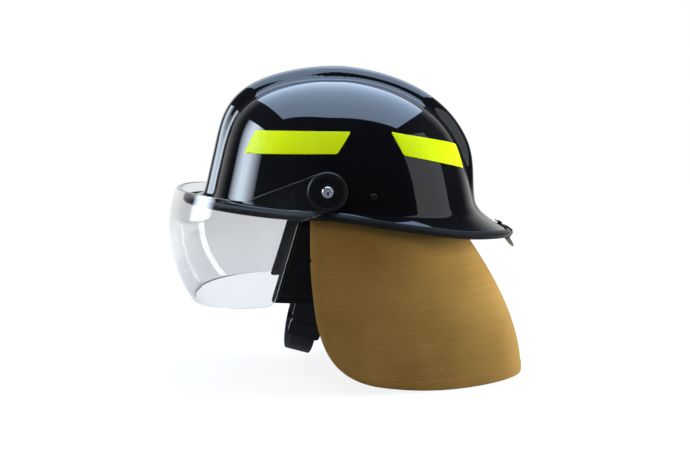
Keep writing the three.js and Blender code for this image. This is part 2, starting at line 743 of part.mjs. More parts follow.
// How far the headband's outside is from the crown's axis in a direction.
function headbandRadius(azimuthDeg) {
  const [dx, dy] = heading(degToRad(azimuthDeg));
  let [inside, outside] = [0, 2 * HEADBAND_FRONT];
  for (let i = 0; i < 40; i++) {
    const r = (inside + outside) / 2;
    const across = Math.abs(dx * r) / HEADBAND_HALF_WIDTH;
    const along = Math.abs(CROWN_AXIS_Y + dy * r) / HEADBAND_FRONT;
    if (across ** HEADBAND_POWER + along ** HEADBAND_POWER < 1) inside = r;
    else outside = r;
  }
  return inside;
}

// A hook of the headband: a foot across the band's top edge, and an upright against a key's inner face.
function headbandHook(azimuthDeg) {
  const face = keyBack(azimuthDeg) - KEY_REACH - SEAT;
  const back = face - HOOK_THICK;
  const held = headbandRadius(azimuthDeg) - HEADBAND_THICK / 2;
  const part = (inner, outer, top) => {
    const bottom = HEADBAND_TOP_Z - HOOK_THICK;
    const section = [
      [inner, bottom],
      [outer, bottom],
      [outer, top],
      [inner, top],
    ];
    return acrossPlane(section, azimuthDeg, HOOK_WIDTH);
  };
  const foot = part(Math.min(back, held), Math.max(face, held), HEADBAND_TOP_Z);
  return join(foot, part(back, face, KEY_TOP_Z - HOOK_BELOW_KEY_TOP));
}

function headband() {
  const end = degToRad(HEADBAND_END_DEG);
  const heights = [HEADBAND_BOTTOM_Z, HEADBAND_TOP_Z];
  const band = layer(span(33, -end, end), heights, HEADBAND_THICK, (angle, z, depth) => [
    ...headbandAt(angle, -depth),
    z,
  ]);
  return join(band, ...HOOKED_KEYS_DEG.map(headbandHook));
}

function browPad() {
  const end = degToRad(BROW_PAD_END_DEG);
  return layer(
    span(21, -end, end),
    [HEADBAND_BOTTOM_Z - 3, HEADBAND_TOP_Z - 4],
    BROW_PAD_THICK,
    (angle, z, depth) => [...headbandAt(angle, -HEADBAND_THICK - SEAT - depth), z],
  );
}

// ---------------------------------------------------------------- nape carriage

// The nape's line seen from above, at a share of the way from the left arm's front to the centre.
function napeAt(share, outset) {
  const w = NAPE_HALF_WIDTH + outset;
  if (share <= NAPE_STRAIGHT) {
    return [w, lerp(NAPE_ARM_FRONT_Y, NAPE_ARM_REAR_Y, share / NAPE_STRAIGHT)];
  }
  const t = ((share - NAPE_STRAIGHT) / (1 - NAPE_STRAIGHT)) * (Math.PI / 2);
  const arm = (v) => Math.sign(v) * Math.abs(v) ** (2 / NAPE_POWER);
  return [
    w * arm(Math.cos(t)),
    NAPE_ARM_REAR_Y + (NAPE_REAR_Y - NAPE_ARM_REAR_Y + outset) * arm(Math.sin(t)),
  ];
}

// One strap, whose end runs above the pinion (lane 1) or below it (lane -1).
function napeStrap(lane) {
  const rackEdge = RATCHET_Z + lane * (PINION_TIP + SEAT);
  const rackFar = rackEdge + lane * RACK_HEIGHT;
  const [rackLow, rackHigh] = [Math.min(rackEdge, rackFar), Math.max(rackEdge, rackFar)];
  return layer(span(27, 0, NAPE_PAST_CENTRE), [0, 1], NAPE_STRAP_THICK, (share, v, depth) => {
    const drop = smoothstep(share, 0.35, 0.78);
    const [x, y] = napeAt(share, -depth);
    const low = lerp(ARM_BOTTOM_Z, rackLow, drop);
    const high = lerp(ARM_TOP_Z, rackHigh, drop);
    return [x, y, lerp(low, high, v)];
  });
}

// A plate that follows the nape line across the middle, between two offsets from the straps.
function napePlate(halfWidth, near, far, lowZ, highZ, count = 11) {
  const start = napeShareOfX(halfWidth);
  return layer(span(count, start, 2 - start), [lowZ, highZ], far - near, (share, z, depth) => [
    ...napeAt(share, far - depth),
    z,
  ]);
}

function napeShareOfX(x) {
  const c = (x / NAPE_HALF_WIDTH) ** (NAPE_POWER / 2);
  return NAPE_STRAIGHT + (1 - NAPE_STRAIGHT) * (Math.acos(c) / (Math.PI / 2));
}

// A piece turned about the ratchet's axis, which runs along Y. Its outline is in x and z.
function alongRatchet(shape, y0, y1) {
  return new THREE.ExtrudeGeometry(shape, { depth: y1 - y0, bevelEnabled: false, curveSegments: ROUND })
    .rotateX(Math.PI / 2)
    .translate(0, y1, RATCHET_Z);
}

function disc(radius, count = ROUND) {
  return outline(
    span(count + 1, 0, 2 * Math.PI)
      .slice(0, -1)
      .map((a) => [radius * Math.cos(a), radius * Math.sin(a)]),
  );
}

const COVER_NEAR = SEAT;
const COVER_FAR = 4;
const PLATE_NEAR = -NAPE_STRAP_THICK - SEAT - 2.4;
const PLATE_FAR = -NAPE_STRAP_THICK - SEAT;
const KNOB_Y = NAPE_REAR_Y + COVER_FAR + SEAT;
const RATCHET_LOW = RATCHET_Z - RATCHET_HALF_HEIGHT;
const RATCHET_HIGH = RATCHET_Z + RATCHET_HALF_HEIGHT;
const shaftHole = () => alongRatchet(disc(PINION_SHAFT + SEAT, 16), NAPE_REAR_Y - 12, NAPE_REAR_Y + 12);

function ratchetPinion() {
  const teeth = span(PINION_TEETH * 4 + 1, 0, 2 * Math.PI)
    .slice(0, -1)
    .map((a, i) => {
      const r = i % 4 < 2 ? PINION_TIP : PINION_ROOT;
      return [r * Math.cos(a), r * Math.sin(a)];
    });
  const inner = NAPE_REAR_Y - NAPE_STRAP_THICK;
  const gear = alongRatchet(outline(teeth), inner, NAPE_REAR_Y);
  const shaft = alongRatchet(disc(PINION_SHAFT, 16), inner - 2.5, KNOB_Y + KNOB_DEPTH - 3);
  return join(gear, shaft);
}

function ratchetKnob() {
  const points = span(KNOB_LOBES * 4 + 1, 0, 2 * Math.PI)
    .slice(0, -1)
    .map((a) => {
      const r = KNOB_RADIUS - (KNOB_LOBE_DEPTH * (1 - Math.cos(a * KNOB_LOBES))) / 2;
      return [r * Math.cos(a), r * Math.sin(a)];
    });
  const body = alongRatchet(outline(points), KNOB_Y, KNOB_Y + KNOB_DEPTH);
  return cut(body, alongRatchet(disc(PINION_SHAFT + SEAT, 16), KNOB_Y - 1, KNOB_Y + KNOB_DEPTH - 2.6));
}

// ---------------------------------------------------------------- face shield and pivots

const EAR_INNER_X = BRACKET_FACE_X + WASHER_THICK + 2 * SEAT;
const EAR_OUTER_X = EAR_INNER_X + SHIELD_THICK;
const DISC_INNER_X = EAR_OUTER_X + WASHER_THICK + 2 * SEAT;
const DISC_OUTER_X = DISC_INNER_X + DISC_THICK;
const HEAD_SEAT_X = DISC_OUTER_X - 1.1;

const shieldFrontY = (z) => {
  const off = z - SHIELD_BULGE_Z;
  const sag = SHIELD_BULGE_RADIUS - Math.sqrt(SHIELD_BULGE_RADIUS ** 2 - off ** 2);
  return SHIELD_FRONT_Y + sag;
};

// Half of the shield seen from above at a height, from an ear (share 0) to the centre (share 1).
function shieldAt(share, z, depth) {
  const halfWidth = EAR_OUTER_X - depth;
  const back = PIVOT_Y + EAR_RADIUS + 3;
  if (share <= SHIELD_STRAIGHT) {
    return [halfWidth, lerp(back, SHIELD_SIDE_END_Y, share / SHIELD_STRAIGHT), z];
  }
  const t = ((share - SHIELD_STRAIGHT) / (1 - SHIELD_STRAIGHT)) * (Math.PI / 2);
  const arm = (v) => Math.abs(v) ** (2 / SHIELD_PLAN_POWER);
  const front = shieldFrontY(Math.min(z, SHIELD_TOP_FRONT_Z + 4)) + depth;
  return [
    share >= 1 ? 0 : halfWidth * arm(Math.cos(t)),
    lerp(SHIELD_SIDE_END_Y, front, arm(Math.sin(t))),
    z,
  ];
}

// The shield's edge in side view: two ears with tangents, and rounded lower corners.
function shieldOutline() {
  const beyond = SHIELD_FRONT_Y - 12;
  const centre = new THREE.Vector2(PIVOT_Y, PIVOT_Z);
  const tangentFrom = ([y, z], side) => {
    const to = new THREE.Vector2(y, z).sub(centre);
    const turn = side * Math.acos(EAR_RADIUS / to.length());
    return to.angle() + turn;
  };
  const upper = tangentFrom(SHIELD_TOP_EAR, -1);
  const lower = tangentFrom(SHIELD_REAR_TOP, 1);
  const [ry, rz] = SHIELD_REAR_BOTTOM;
  const down = new THREE.Vector2(ry - SHIELD_REAR_TOP[0], rz - SHIELD_REAR_TOP[1]).normalize();
  const fore = new THREE.Vector2(SHIELD_BOTTOM_FRONT[0] - ry, SHIELD_BOTTOM_FRONT[1] - rz).normalize();
  const shape = new THREE.Shape();
  shape.moveTo(beyond, SHIELD_TOP_FRONT_Z + 1);
  shape.lineTo(SHIELD_FRONT_Y + 10, SHIELD_TOP_FRONT_Z);
  shape.lineTo(...SHIELD_TOP_EAR);
  shape.absarc(centre.x, centre.y, EAR_RADIUS, upper, lower, true);
  shape.lineTo(...SHIELD_REAR_TOP);
  shape.lineTo(ry - down.x * SHIELD_CORNER, rz - down.y * SHIELD_CORNER);
  shape.quadraticCurveTo(ry, rz, ry + fore.x * SHIELD_CORNER, rz + fore.y * SHIELD_CORNER);
  shape.lineTo(...SHIELD_BOTTOM_FRONT);
  shape.lineTo(beyond, SHIELD_BOTTOM_FRONT[1] - 2);
  return shape;
}

function faceShield() {
  const shares = [0, ...span(10, SHIELD_STRAIGHT, 1)];
  const both = [...shares, ...shares.slice(0, -1).reverse().map((s) => 2 - s)];
  const heights = span(8, SHIELD_BOTTOM_FRONT[1] - 4, PIVOT_Z + EAR_RADIUS + 3);
  const wall = layer(both, heights, SHIELD_THICK, (share, z, depth) => {
    const [x, y] = shieldAt(share > 1 ? 2 - share : share, z, depth);
    return [share > 1 ? -x : x, y, z];
  });
  const wide = EAR_OUTER_X + 10;
  const trimmed = common(wall, acrossX(shieldOutline(), -wide, wide, 10));
  return cut(trimmed, barX(SLEEVE_RADIUS + SEAT, -wide, wide, PIVOT_Y, PIVOT_Z, 20));
}

function pivotBracket() {
  const inside = CROWN_HALF_WIDTH - 14;
  const boss = turnedX(
    [
      [0, inside],
      [BRACKET_RADIUS, inside],
      [BRACKET_RADIUS, BRACKET_FACE_X - 1],
      [BRACKET_RADIUS - 1, BRACKET_FACE_X],
      [SLEEVE_RADIUS, BRACKET_FACE_X],
      [SLEEVE_RADIUS, DISC_INNER_X - SEAT],
      [0, DISC_INNER_X - SEAT],
    ],
    PIVOT_Y,
    PIVOT_Z,
  );
  const bore = barX(SCREW_RADIUS + SEAT, inside - 2, DISC_OUTER_X, PIVOT_Y, PIVOT_Z, 12);
  return cut(boss, crownBlank(-SEAT, UP_OUTER), bore);
}

function frictionWasher(x) {
  const ring = barX(WASHER_RADIUS, x, x + WASHER_THICK, PIVOT_Y, PIVOT_Z);
  return cut(ring, barX(SLEEVE_RADIUS + SEAT, x - 1, x + WASHER_THICK + 1, PIVOT_Y, PIVOT_Z, 20));
}

function pivotDisc() {
  const rim = DISC_RADIUS;
  const body = turnedX(
    [
      [0, DISC_INNER_X],
      [rim, DISC_INNER_X],
      [rim, DISC_OUTER_X - 1.6],
      [rim - 1.6, DISC_OUTER_X],
      [rim - 3, DISC_OUTER_X],
      [rim - 3.8, DISC_OUTER_X - 0.9],
      [0, DISC_OUTER_X - 0.9],
    ],
    PIVOT_Y,
    PIVOT_Z,
    24,
  );
  const bore = barX(SCREW_RADIUS + SEAT, DISC_INNER_X - 1, DISC_OUTER_X + 1, PIVOT_Y, PIVOT_Z, 12);
  const recess = barX(SCREW_HEAD_RADIUS + SEAT, HEAD_SEAT_X - SEAT, DISC_OUTER_X + 2, PIVOT_Y, PIVOT_Z);
  return cut(body, bore, recess);
}

function pivotScrew() {
  const tip = crownSideX(PIVOT_Y, PIVOT_Z, -SHELL_WALL) - NUT_THICK - 2;
  const top = HEAD_SEAT_X + SCREW_HEAD_THICK;
  const body = turnedX(
    [
      [0, tip],
      [SCREW_RADIUS, tip],
      [SCREW_RADIUS, HEAD_SEAT_X],
      [SCREW_HEAD_RADIUS, HEAD_SEAT_X],
      [SCREW_HEAD_RADIUS, top - 0.9],
      [SCREW_HEAD_RADIUS - 1.2, top],
      [0, top],
    ],
    PIVOT_Y,
    PIVOT_Z,
  );
  return cut(body, barX(SCREW_SOCKET_RADIUS, top - 1.8, top + 1, PIVOT_Y, PIVOT_Z, 6));
}

function pivotNut() {
  const face = crownPatchX(Math.min, PIVOT_Y, PIVOT_Z, NUT_RADIUS, -SHELL_WALL) - SEAT;
  const nut = barX(NUT_RADIUS, face - NUT_THICK, face, PIVOT_Y, PIVOT_Z, 6);
  return cut(nut, barX(SCREW_RADIUS + SEAT * 0.6, face - NUT_THICK - 1, face + 1, PIVOT_Y, PIVOT_Z, 12));
}

// ---------------------------------------------------------------- neck curtain

// A hanging layer at an azimuth and height. inset is measured in from the crown's outside.
function curtainAt(azimuth, z, inset) {
  const top = wallRadius(azimuth, Math.max(z, CROWN_BASE_Z), inset);
  const fall = Math.min(1, Math.max(0, (FLARE_START_Z - z) / (FLARE_START_Z - HEM_Z)));
  const flare = 1 - (1 - fall) ** FLARE_POWER;
  const hem = ovalRadius(azimuth, HEM_HALF_WIDTH, HEM_FRONT, HEM_REAR);
  const outset = SHELL_WALL + STRIP_THICK + 2 * SEAT - inset;
  return onAxis(azimuth, lerp(top, hem + outset, flare), z);
}

const STRIP_INSET = SHELL_WALL + SEAT;
const CURTAIN_INSET = STRIP_INSET + STRIP_THICK + SEAT;
const LINING_INSET = CURTAIN_INSET + CURTAIN_THICK + LAYER_GAP;
const sideHoles = (radius, segments = 12) => {
  const across = (y, z) => barX(radius, -CROWN_HALF_WIDTH - 10, CROWN_HALF_WIDTH + 10, y, z, segments);
  return [across(ANCHOR_Y, ANCHOR_Z), across(STRIP_RIVET_Y, STRIP_RIVET_Z)];
};
const HUNG_AZIMUTHS = RING_AZIMUTHS.filter(
  (azimuth) => Math.cos(azimuth) < Math.cos(degToRad(HUNG_START_DEG)),
);

// A layer round the sides and back, from azimuths in front of its cut edge, trimmed to a side view.
function hungLayer(heights, thick, shape, holeRadius, at) {
  const wide = HEM_HALF_WIDTH + 20;
  const round = layer(HUNG_AZIMUTHS, heights, thick, (azimuth, z, depth) => at(azimuth, z, depth));
  return cut(common(round, acrossX(shape, -wide, wide, 6)), ...sideHoles(holeRadius));
}

const BEHIND_Y = HEM_REAR + 20;

function curtainStrip() {
  const shape = outline([
    [STRIP_FRONT_Y, STRIP_BOTTOM_Z],
    [BEHIND_Y, STRIP_BOTTOM_Z],
    [BEHIND_Y, STRIP_TOP_Z],
    [STRIP_FRONT_Y, STRIP_TOP_Z],
  ]);
  const heights = [STRIP_BOTTOM_Z - 1, STRIP_TOP_Z + 1];
  return hungLayer(heights, STRIP_THICK, shape, RIVET_RADIUS + SEAT, (azimuth, z, depth) =>
    onAxis(azimuth, wallRadius(azimuth, z, STRIP_INSET + depth), z),
  );
}

const CLOTH_HEIGHTS = [...span(5, HEM_Z - 4, FLARE_START_Z), CROWN_BASE_Z, CURTAIN_TOP_Z + 1];
const hungCloth = (inset, thick, shape) =>
  hungLayer(CLOTH_HEIGHTS, thick, shape, RIVET_HEAD_RADIUS + SEAT, (azimuth, z, depth) =>
    curtainAt(azimuth, z, inset + depth),
  );

function neckCurtain() {
  const shape = new THREE.Shape();
  shape.moveTo(CURTAIN_FRONT_Y, CURTAIN_TOP_Z);
  shape.lineTo(CURTAIN_FRONT_Y, -60);
  shape.quadraticCurveTo(CURTAIN_FRONT_Y + 1, -90, CURTAIN_FRONT_Y + 6, CURTAIN_CORNER_Z);
  shape.bezierCurveTo(CURTAIN_FRONT_Y + 14, -160, -8, -178, HEM_CORNER_Y, -187);
  shape.bezierCurveTo(60, HEM_Z + 1, 120, HEM_Z - 2, 165, HEM_Z + 2);
  shape.lineTo(BEHIND_Y, HEM_Z + 7);
  shape.lineTo(BEHIND_Y, CURTAIN_TOP_Z);
  return hungCloth(CURTAIN_INSET, CURTAIN_THICK, shape);
}

function curtainLining() {
  const [tipY, tipZ] = LINING_FLAP_TIP;
  const shape = new THREE.Shape();
  shape.moveTo(LINING_FLAP_TOP_Y, CURTAIN_TOP_Z);
  shape.lineTo(LINING_FLAP_TOP_Y, -20);
  shape.lineTo(tipY + 1, tipZ + 4);
  shape.quadraticCurveTo(tipY, tipZ, tipY + 5, tipZ);
  shape.lineTo(CURTAIN_FRONT_Y + 4, tipZ + 1);
  shape.bezierCurveTo(CURTAIN_FRONT_Y + 18, -150, 0, -168, HEM_CORNER_Y, -176);
  shape.lineTo(BEHIND_Y, HEM_Z + 14);
  shape.lineTo(BEHIND_Y, CURTAIN_TOP_Z);
  return hungCloth(LINING_INSET, LINING_THICK, shape);
}

// ---------------------------------------------------------------- rivets

// A rivet through the shell's left wall: a domed head outside, and a flange at a depth inside.
function wallRivet(y, z, flangeInset) {
  const outside = crownPatchX(Math.max, y, z, RIVET_HEAD_RADIUS - 0.6, SEAT);
  const flange = crownPatchX(Math.min, y, z, RIVET_HEAD_RADIUS - 0.6, -flangeInset);
  return turnedX(
    [
      [0, flange - RIVET_HEAD_THICK],
      [RIVET_HEAD_RADIUS * 0.8, flange - RIVET_HEAD_THICK],
      [RIVET_HEAD_RADIUS * 0.8, flange],
      [RIVET_RADIUS, flange],
      [RIVET_RADIUS, outside],
      [RIVET_HEAD_RADIUS, outside],
      [RIVET_HEAD_RADIUS * 0.7, outside + RIVET_HEAD_THICK * 0.8],
      [0, outside + RIVET_HEAD_THICK],
    ],
    y,
    z,
    12,
  );
}

// ---------------------------------------------------------------- chin strap

// Everything here hangs in the loop's own frame: x across, z down from the anchors' axis.
const loop = new THREE.Group();
loop.position.set(0, ANCHOR_Y, ANCHOR_Z);
loop.rotation.x = -degToRad(LOOP_LEAN_DEG);
helmet.add(loop);

const LEG_TOP = -ANCHOR_SLOT_DEPTH - 1;
const legX = (depth) =>
  lerp(LOOP_TOP_X, LOOP_LEG_X, (-LEG_TOP - depth) / (-LEG_TOP - LOOP_LEG_DEPTH));
const legTilt = Math.atan2(LOOP_TOP_X - LOOP_LEG_X, LOOP_LEG_DEPTH + LEG_TOP);

// Flat webbing along a path of [x, z] points.
function webbing(path) {
  const rings = path.map(([x, z], i) => {
    const [before, after] = [path[Math.max(0, i - 1)], path[Math.min(path.length - 1, i + 1)]];
    const [dx, dz] = [after[0] - before[0], after[1] - before[1]];
    const length = Math.hypot(dx, dz);
    const normal = [(dz / length) * (WEB_THICK / 2), (-dx / length) * (WEB_THICK / 2)];
    const h = WEB_WIDTH / 2;
    return [
      [x + normal[0], h, z + normal[1]],
      [x + normal[0], -h, z + normal[1]],
      [x - normal[0], -h, z - normal[1]],
      [x - normal[0], h, z - normal[1]],
    ];
  });
  return loft(rings);
}

// A plate that turns on its rivet and carries the webbing in a slot along its lower edge.
function anchorPlate() {
  const h = WEB_WIDTH / 2 + 3;
  const plate = new THREE.Shape();
  plate.moveTo(-6, 5);
  plate.quadraticCurveTo(0, 8.5, 6, 5);
  plate.lineTo(h, -ANCHOR_SLOT_DEPTH + 2);
  plate.lineTo(h, -ANCHOR_SLOT_DEPTH - 7);
  plate.lineTo(-h, -ANCHOR_SLOT_DEPTH - 7);
  plate.lineTo(-h, -ANCHOR_SLOT_DEPTH + 2);
  const slot = outline([
    [-WEB_WIDTH / 2 - SEAT, -ANCHOR_SLOT_DEPTH],
    [WEB_WIDTH / 2 + SEAT, -ANCHOR_SLOT_DEPTH],
    [WEB_WIDTH / 2 + SEAT, -ANCHOR_SLOT_DEPTH - 4],
    [-WEB_WIDTH / 2 - SEAT, -ANCHOR_SLOT_DEPTH - 4],
  ]);
  const [near, far] = [ANCHOR_PLATE_X - ANCHOR_PLATE_THICK, ANCHOR_PLATE_X];
  const body = cut(acrossX(plate, near, far), acrossX(slot, near - 1, far + 1));
  return cut(body, barX(RIVET_RADIUS + SEAT, near - 1, far + 1, 0, 0, 16));
}

// The webbing goes out through the plate's slot and is folded back down over its lower bar.
const ANCHOR_PLATE_INSET = LINING_INSET + LINING_THICK + WEB_THICK + SWING_ROOM;
const ANCHOR_PLATE_X = crownSideX(ANCHOR_Y, ANCHOR_Z, -ANCHOR_PLATE_INSET);
const plateBack = ANCHOR_PLATE_X - ANCHOR_PLATE_THICK;
const slotMiddle = -ANCHOR_SLOT_DEPTH - 2;

function upperFold(sign) {
  return [
    [sign * (ANCHOR_PLATE_X + WEB_THICK / 2 + SEAT), -ANCHOR_SLOT_DEPTH - 12],
    [sign * (ANCHOR_PLATE_X + WEB_THICK / 2 + SEAT), slotMiddle - 1.2],
    [sign * (ANCHOR_PLATE_X - ANCHOR_PLATE_THICK / 2), slotMiddle + 0.2],
    [sign * (plateBack - WEB_THICK / 2 - SEAT), slotMiddle - 1.2],
    [sign * (plateBack - WEB_THICK / 2 - SEAT), -ANCHOR_SLOT_DEPTH - 12],
  ];
}

function leftWebbing() {
  const end = BUCKLE_JOIN_DEPTH - SOCKET_LENGTH + WEB_GRIP - SEAT;
  return webbing([...upperFold(1), [legX(45), -45], [legX(end), -end]]);
}

function rightWebbing() {
  const start = BUCKLE_JOIN_DEPTH + PLUG_LENGTH - WEB_GRIP + SEAT;
  const bottom = span(17, 0, Math.PI).map((t) => [
    LOOP_LEG_X * Math.cos(t),
    -LOOP_LEG_DEPTH - LOOP_BOW * Math.sin(t),
  ]);
  const rest = [100, 72, 45].map((depth) => [-legX(depth), -depth]);
  return webbing([[legX(start), -start], ...bottom, ...rest, ...upperFold(-1).reverse()]);
}

// A frame on a leg: z along the leg with 0 at a depth, x outwards, y across the webbing.
function onLeg(sign, depth) {
  const frame = new THREE.Group();
  frame.position.set(sign * legX(depth), 0, -depth);
  frame.rotation.y = sign * legTilt;
  loop.add(frame);
  return frame;
}

function roundedBox(thick, width, length, corner, z) {
  const [w, l] = [width / 2, length / 2];
  const shape = new THREE.Shape();
  shape.moveTo(-w + corner, -l);
  shape.lineTo(w - corner, -l);
  shape.quadraticCurveTo(w, -l, w, -l + corner);
  shape.lineTo(w, l - corner);
  shape.quadraticCurveTo(w, l, w - corner, l);
  shape.lineTo(-w + corner, l);
  shape.quadraticCurveTo(-w, l, -w, l - corner);
  shape.lineTo(-w, -l + corner);
  shape.quadraticCurveTo(-w, -l, -w + corner, -l);
  return acrossX(shape, -thick / 2, thick / 2, 3).translate(0, 0, z);
}

function buckleSocket() {
  const centre = (SOCKET_LENGTH + SEAT) / 2;
  const body = roundedBox(BUCKLE_THICK, BUCKLE_WIDTH, SOCKET_LENGTH, BUCKLE_CORNER, centre);
  const open = BUCKLE_THICK - 2 * BUCKLE_WALL;
  const mouthWidth = BUCKLE_WIDTH - 2 * BUCKLE_SIDE_WALL;
  const mouth = block(open, mouthWidth, TONGUE_LENGTH + 2, [0, 0, TONGUE_LENGTH / 2 - 1]);
  const sideWindows = block(open, BUCKLE_WIDTH + 4, CATCH_LENGTH + 3, [0, 0, CATCH_MIDDLE]);
  const slot = block(WEB_THICK + 2 * SEAT, WEB_WIDTH + 2 * SEAT, 2 * WEB_GRIP, [0, 0, SOCKET_LENGTH]);
  return cut(body, mouth, sideWindows, slot);
}

function bucklePlug() {
  const centre = -(PLUG_LENGTH + SEAT) / 2;
  const body = roundedBox(BUCKLE_THICK, BUCKLE_WIDTH, PLUG_LENGTH, BUCKLE_CORNER, centre);
  const thick = BUCKLE_THICK - 2 * BUCKLE_WALL - 2 * SEAT;
  const tongue = block(thick, TONGUE_WIDTH, TONGUE_LENGTH, [0, 0, TONGUE_LENGTH / 2 - 1.5]);
  const catchFar = BUCKLE_WIDTH / 2 - BUCKLE_CATCH_IN;
  const prong = (side) => {
    const across = side * (catchFar - CATCH_WIDTH - PRONG_WIDTH / 2 + PRONG_LAP);
    return block(thick, PRONG_WIDTH, TONGUE_LENGTH - 2, [0, across, TONGUE_LENGTH / 2 - 2.5]);
  };
  const catchEnd = (side) => {
    const across = side * (catchFar - CATCH_WIDTH / 2);
    return block(thick, CATCH_WIDTH, CATCH_LENGTH, [0, across, CATCH_MIDDLE]);
  };
  const slot = block(WEB_THICK + 2 * SEAT, WEB_WIDTH + 2 * SEAT, 2 * WEB_GRIP, [0, 0, -PLUG_LENGTH]);
  return cut(join(body, tongue, prong(1), prong(-1), catchEnd(1), catchEnd(-1)), slot);
}

function strapSlide() {
  const body = roundedBox(SLIDE_THICK, BUCKLE_WIDTH - 1, SLIDE_HEIGHT, 2, 0);
  return cut(body, block(WEB_THICK + 3 * SEAT, WEB_WIDTH + 3 * SEAT, SLIDE_HEIGHT + 4));
}

// ---------------------------------------------------------------- hanging ring

// The nape's edge frame: a runs outwards down the brim, b up from it, with 0 at the edge's middle.
function alongBrim(geometry) {
  const { edge, out, up } = brimAt(Math.PI);
  const mid = edge.map((v, k) => v - up[k] * (SHELL_WALL / 2));
  const frame = new THREE.Matrix4().makeBasis(
    new THREE.Vector3(1, 0, 0),
    new THREE.Vector3(0, out[0], out[1]),
    new THREE.Vector3(0, up[0], up[1]),
  );
  return geometry.clone().applyMatrix4(frame).translate(0, CROWN_AXIS_Y + mid[0], mid[1]);
}

const CLIP_RIVET_A = -TRIM_GRIP - 8;
const clipInner = TRIM_HALF_THICK + SEAT;
const clipNose = TRIM_NOSE + SEAT;
const clipRivetHole = () =>
  new THREE.CylinderGeometry(RIVET_RADIUS + SEAT, RIVET_RADIUS + SEAT, 20, 12)
    .rotateX(Math.PI / 2)
    .translate(0, CLIP_RIVET_A, 0);

// The ring's bar turns under the trim, at this place in the edge frame.
const EYE_A = TRIM_NOSE - 1;
const EYE_B = -TRIM_HALF_THICK - SEAT - RING_WIRE;

// A strap of steel folded over the trim, curled round the ring's bar below it.
function hangerClip() {
  const back = -TRIM_GRIP - CLIP_REACH;
  const seat = SHELL_WALL / 2 + SEAT;
  const [i, n, t] = [clipInner, clipNose, CLIP_THICK];
  const eye = RING_WIRE + SEAT;
  const curl = span(6, 10, -170)
    .map(degToRad)
    .map((a) => [EYE_A + eye * Math.cos(a), EYE_B + eye * Math.sin(a)]);
  const line = [
    [back, seat],
    [-TRIM_GRIP - 3, seat],
    [-TRIM_GRIP - SEAT, i],
    [n - 2, i],
    [n, i - 2.4],
    [n, -1],
    ...curl,
    [EYE_A - eye - 1.4, -i],
    [-TRIM_GRIP - SEAT, -i],
    [-TRIM_GRIP - 3, -seat],
    [back, -seat],
  ];
  const outerLine = line.map(([a, b], k) => {
    const [p, q] = [line[Math.max(0, k - 1)], line[Math.min(line.length - 1, k + 1)]];
    const d = Math.hypot(q[0] - p[0], q[1] - p[1]);
    return [a - (t * (q[1] - p[1])) / d, b + (t * (q[0] - p[0])) / d];
  });
  const g = new THREE.ExtrudeGeometry(outline([...line, ...outerLine.reverse()]), {
    depth: CLIP_WIDTH,
    bevelEnabled: false,
  });
  const turn = new THREE.Matrix4().makeBasis(
    new THREE.Vector3(0, 1, 0),
    new THREE.Vector3(0, 0, 1),
    new THREE.Vector3(1, 0, 0),
  );
  g.applyMatrix4(turn).translate(-CLIP_WIDTH / 2, 0, 0);
  return alongBrim(cut(g, clipRivetHole()));
}

function hangerRivet() {
  const stack = SHELL_WALL / 2 + SEAT + CLIP_THICK + SEAT;
  const head = turnedX(
    [
      [0, -stack - 0.8],
      [RIVET_HEAD_RADIUS * 0.8, -stack - 0.8],
      [RIVET_HEAD_RADIUS * 0.8, -stack],
      [RIVET_RADIUS, -stack],
      [RIVET_RADIUS, stack],
      [RIVET_HEAD_RADIUS, stack],
      [RIVET_HEAD_RADIUS * 0.7, stack + RIVET_HEAD_THICK * 0.8],
      [0, stack + RIVET_HEAD_THICK],
    ],
    0,
    0,
    12,
  );
  return alongBrim(head.rotateY(-Math.PI / 2).translate(0, CLIP_RIVET_A, 0));
}

// Where the ring turns in the clip's eye, as [y, z].
const RING_PIVOT = (() => {
  const bar = alongBrim(new THREE.BoxGeometry(1, 1, 1).translate(0, EYE_A, EYE_B));
  bar.computeBoundingSphere();
  return bar.boundingSphere.center.toArray().slice(1);
})();

// A D of round wire: a straight bar in the eye and a bow below it.
function hangerRing() {
  const [w, d] = [RING_HALF_WIDTH, RING_DROP];
  const path = [
    [-w, 0],
    [w, 0],
    ...span(9, 0, Math.PI).map((t) => [w * Math.cos(t), -RING_SHANK - (d - RING_SHANK) * Math.sin(t)]),
  ];
  const rings = path.map(([x, z], i) => {
    const p = path[(i + path.length - 1) % path.length];
    const q = path[(i + 1) % path.length];
    const bisect = new THREE.Vector2(q[0] - x, q[1] - z)
      .normalize()
      .add(new THREE.Vector2(x - p[0], z - p[1]).normalize())
      .normalize();
    const reach = RING_WIRE / Math.max(0.75, new THREE.Vector2(q[0] - x, q[1] - z).normalize().dot(bisect));
    return span(9, 0, 2 * Math.PI)
      .slice(0, -1)
      .map((a) => [
        x + bisect.y * reach * Math.cos(a),
        RING_WIRE * Math.sin(a),
        z - bisect.x * reach * Math.cos(a),
      ]);
  });
  return loft(rings, { wrap: true });
}

// ---------------------------------------------------------------- assembly

put("outer_shell", outerShell(), GLOSS_BLACK);
put("edge_trim", edgeTrim(), TRIM_BLACK);
putPair("reflector_front", reflector(REFLECTOR_FRONT), LIME);
putPair("reflector_rear", reflector(REFLECTOR_REAR), LIME);

put("impact_liner", impactLiner(), FOAM);
STRAP_AZIMUTHS.forEach((deg, i) => {
  put(`crown_strap_${i + 1}`, crownStrap(deg, i), WEBBING);
  put(`suspension_key_${i + 1}`, suspensionKey(deg), NYLON_BLACK);
  put(`suspension_key_${i + 4}`, suspensionKey(deg + 180), NYLON_BLACK);
});
put("crown_pad", crownPad(), LEATHER);
put("headband", headband(), NYLON_BLACK);
put("brow_pad", browPad(), LEATHER);

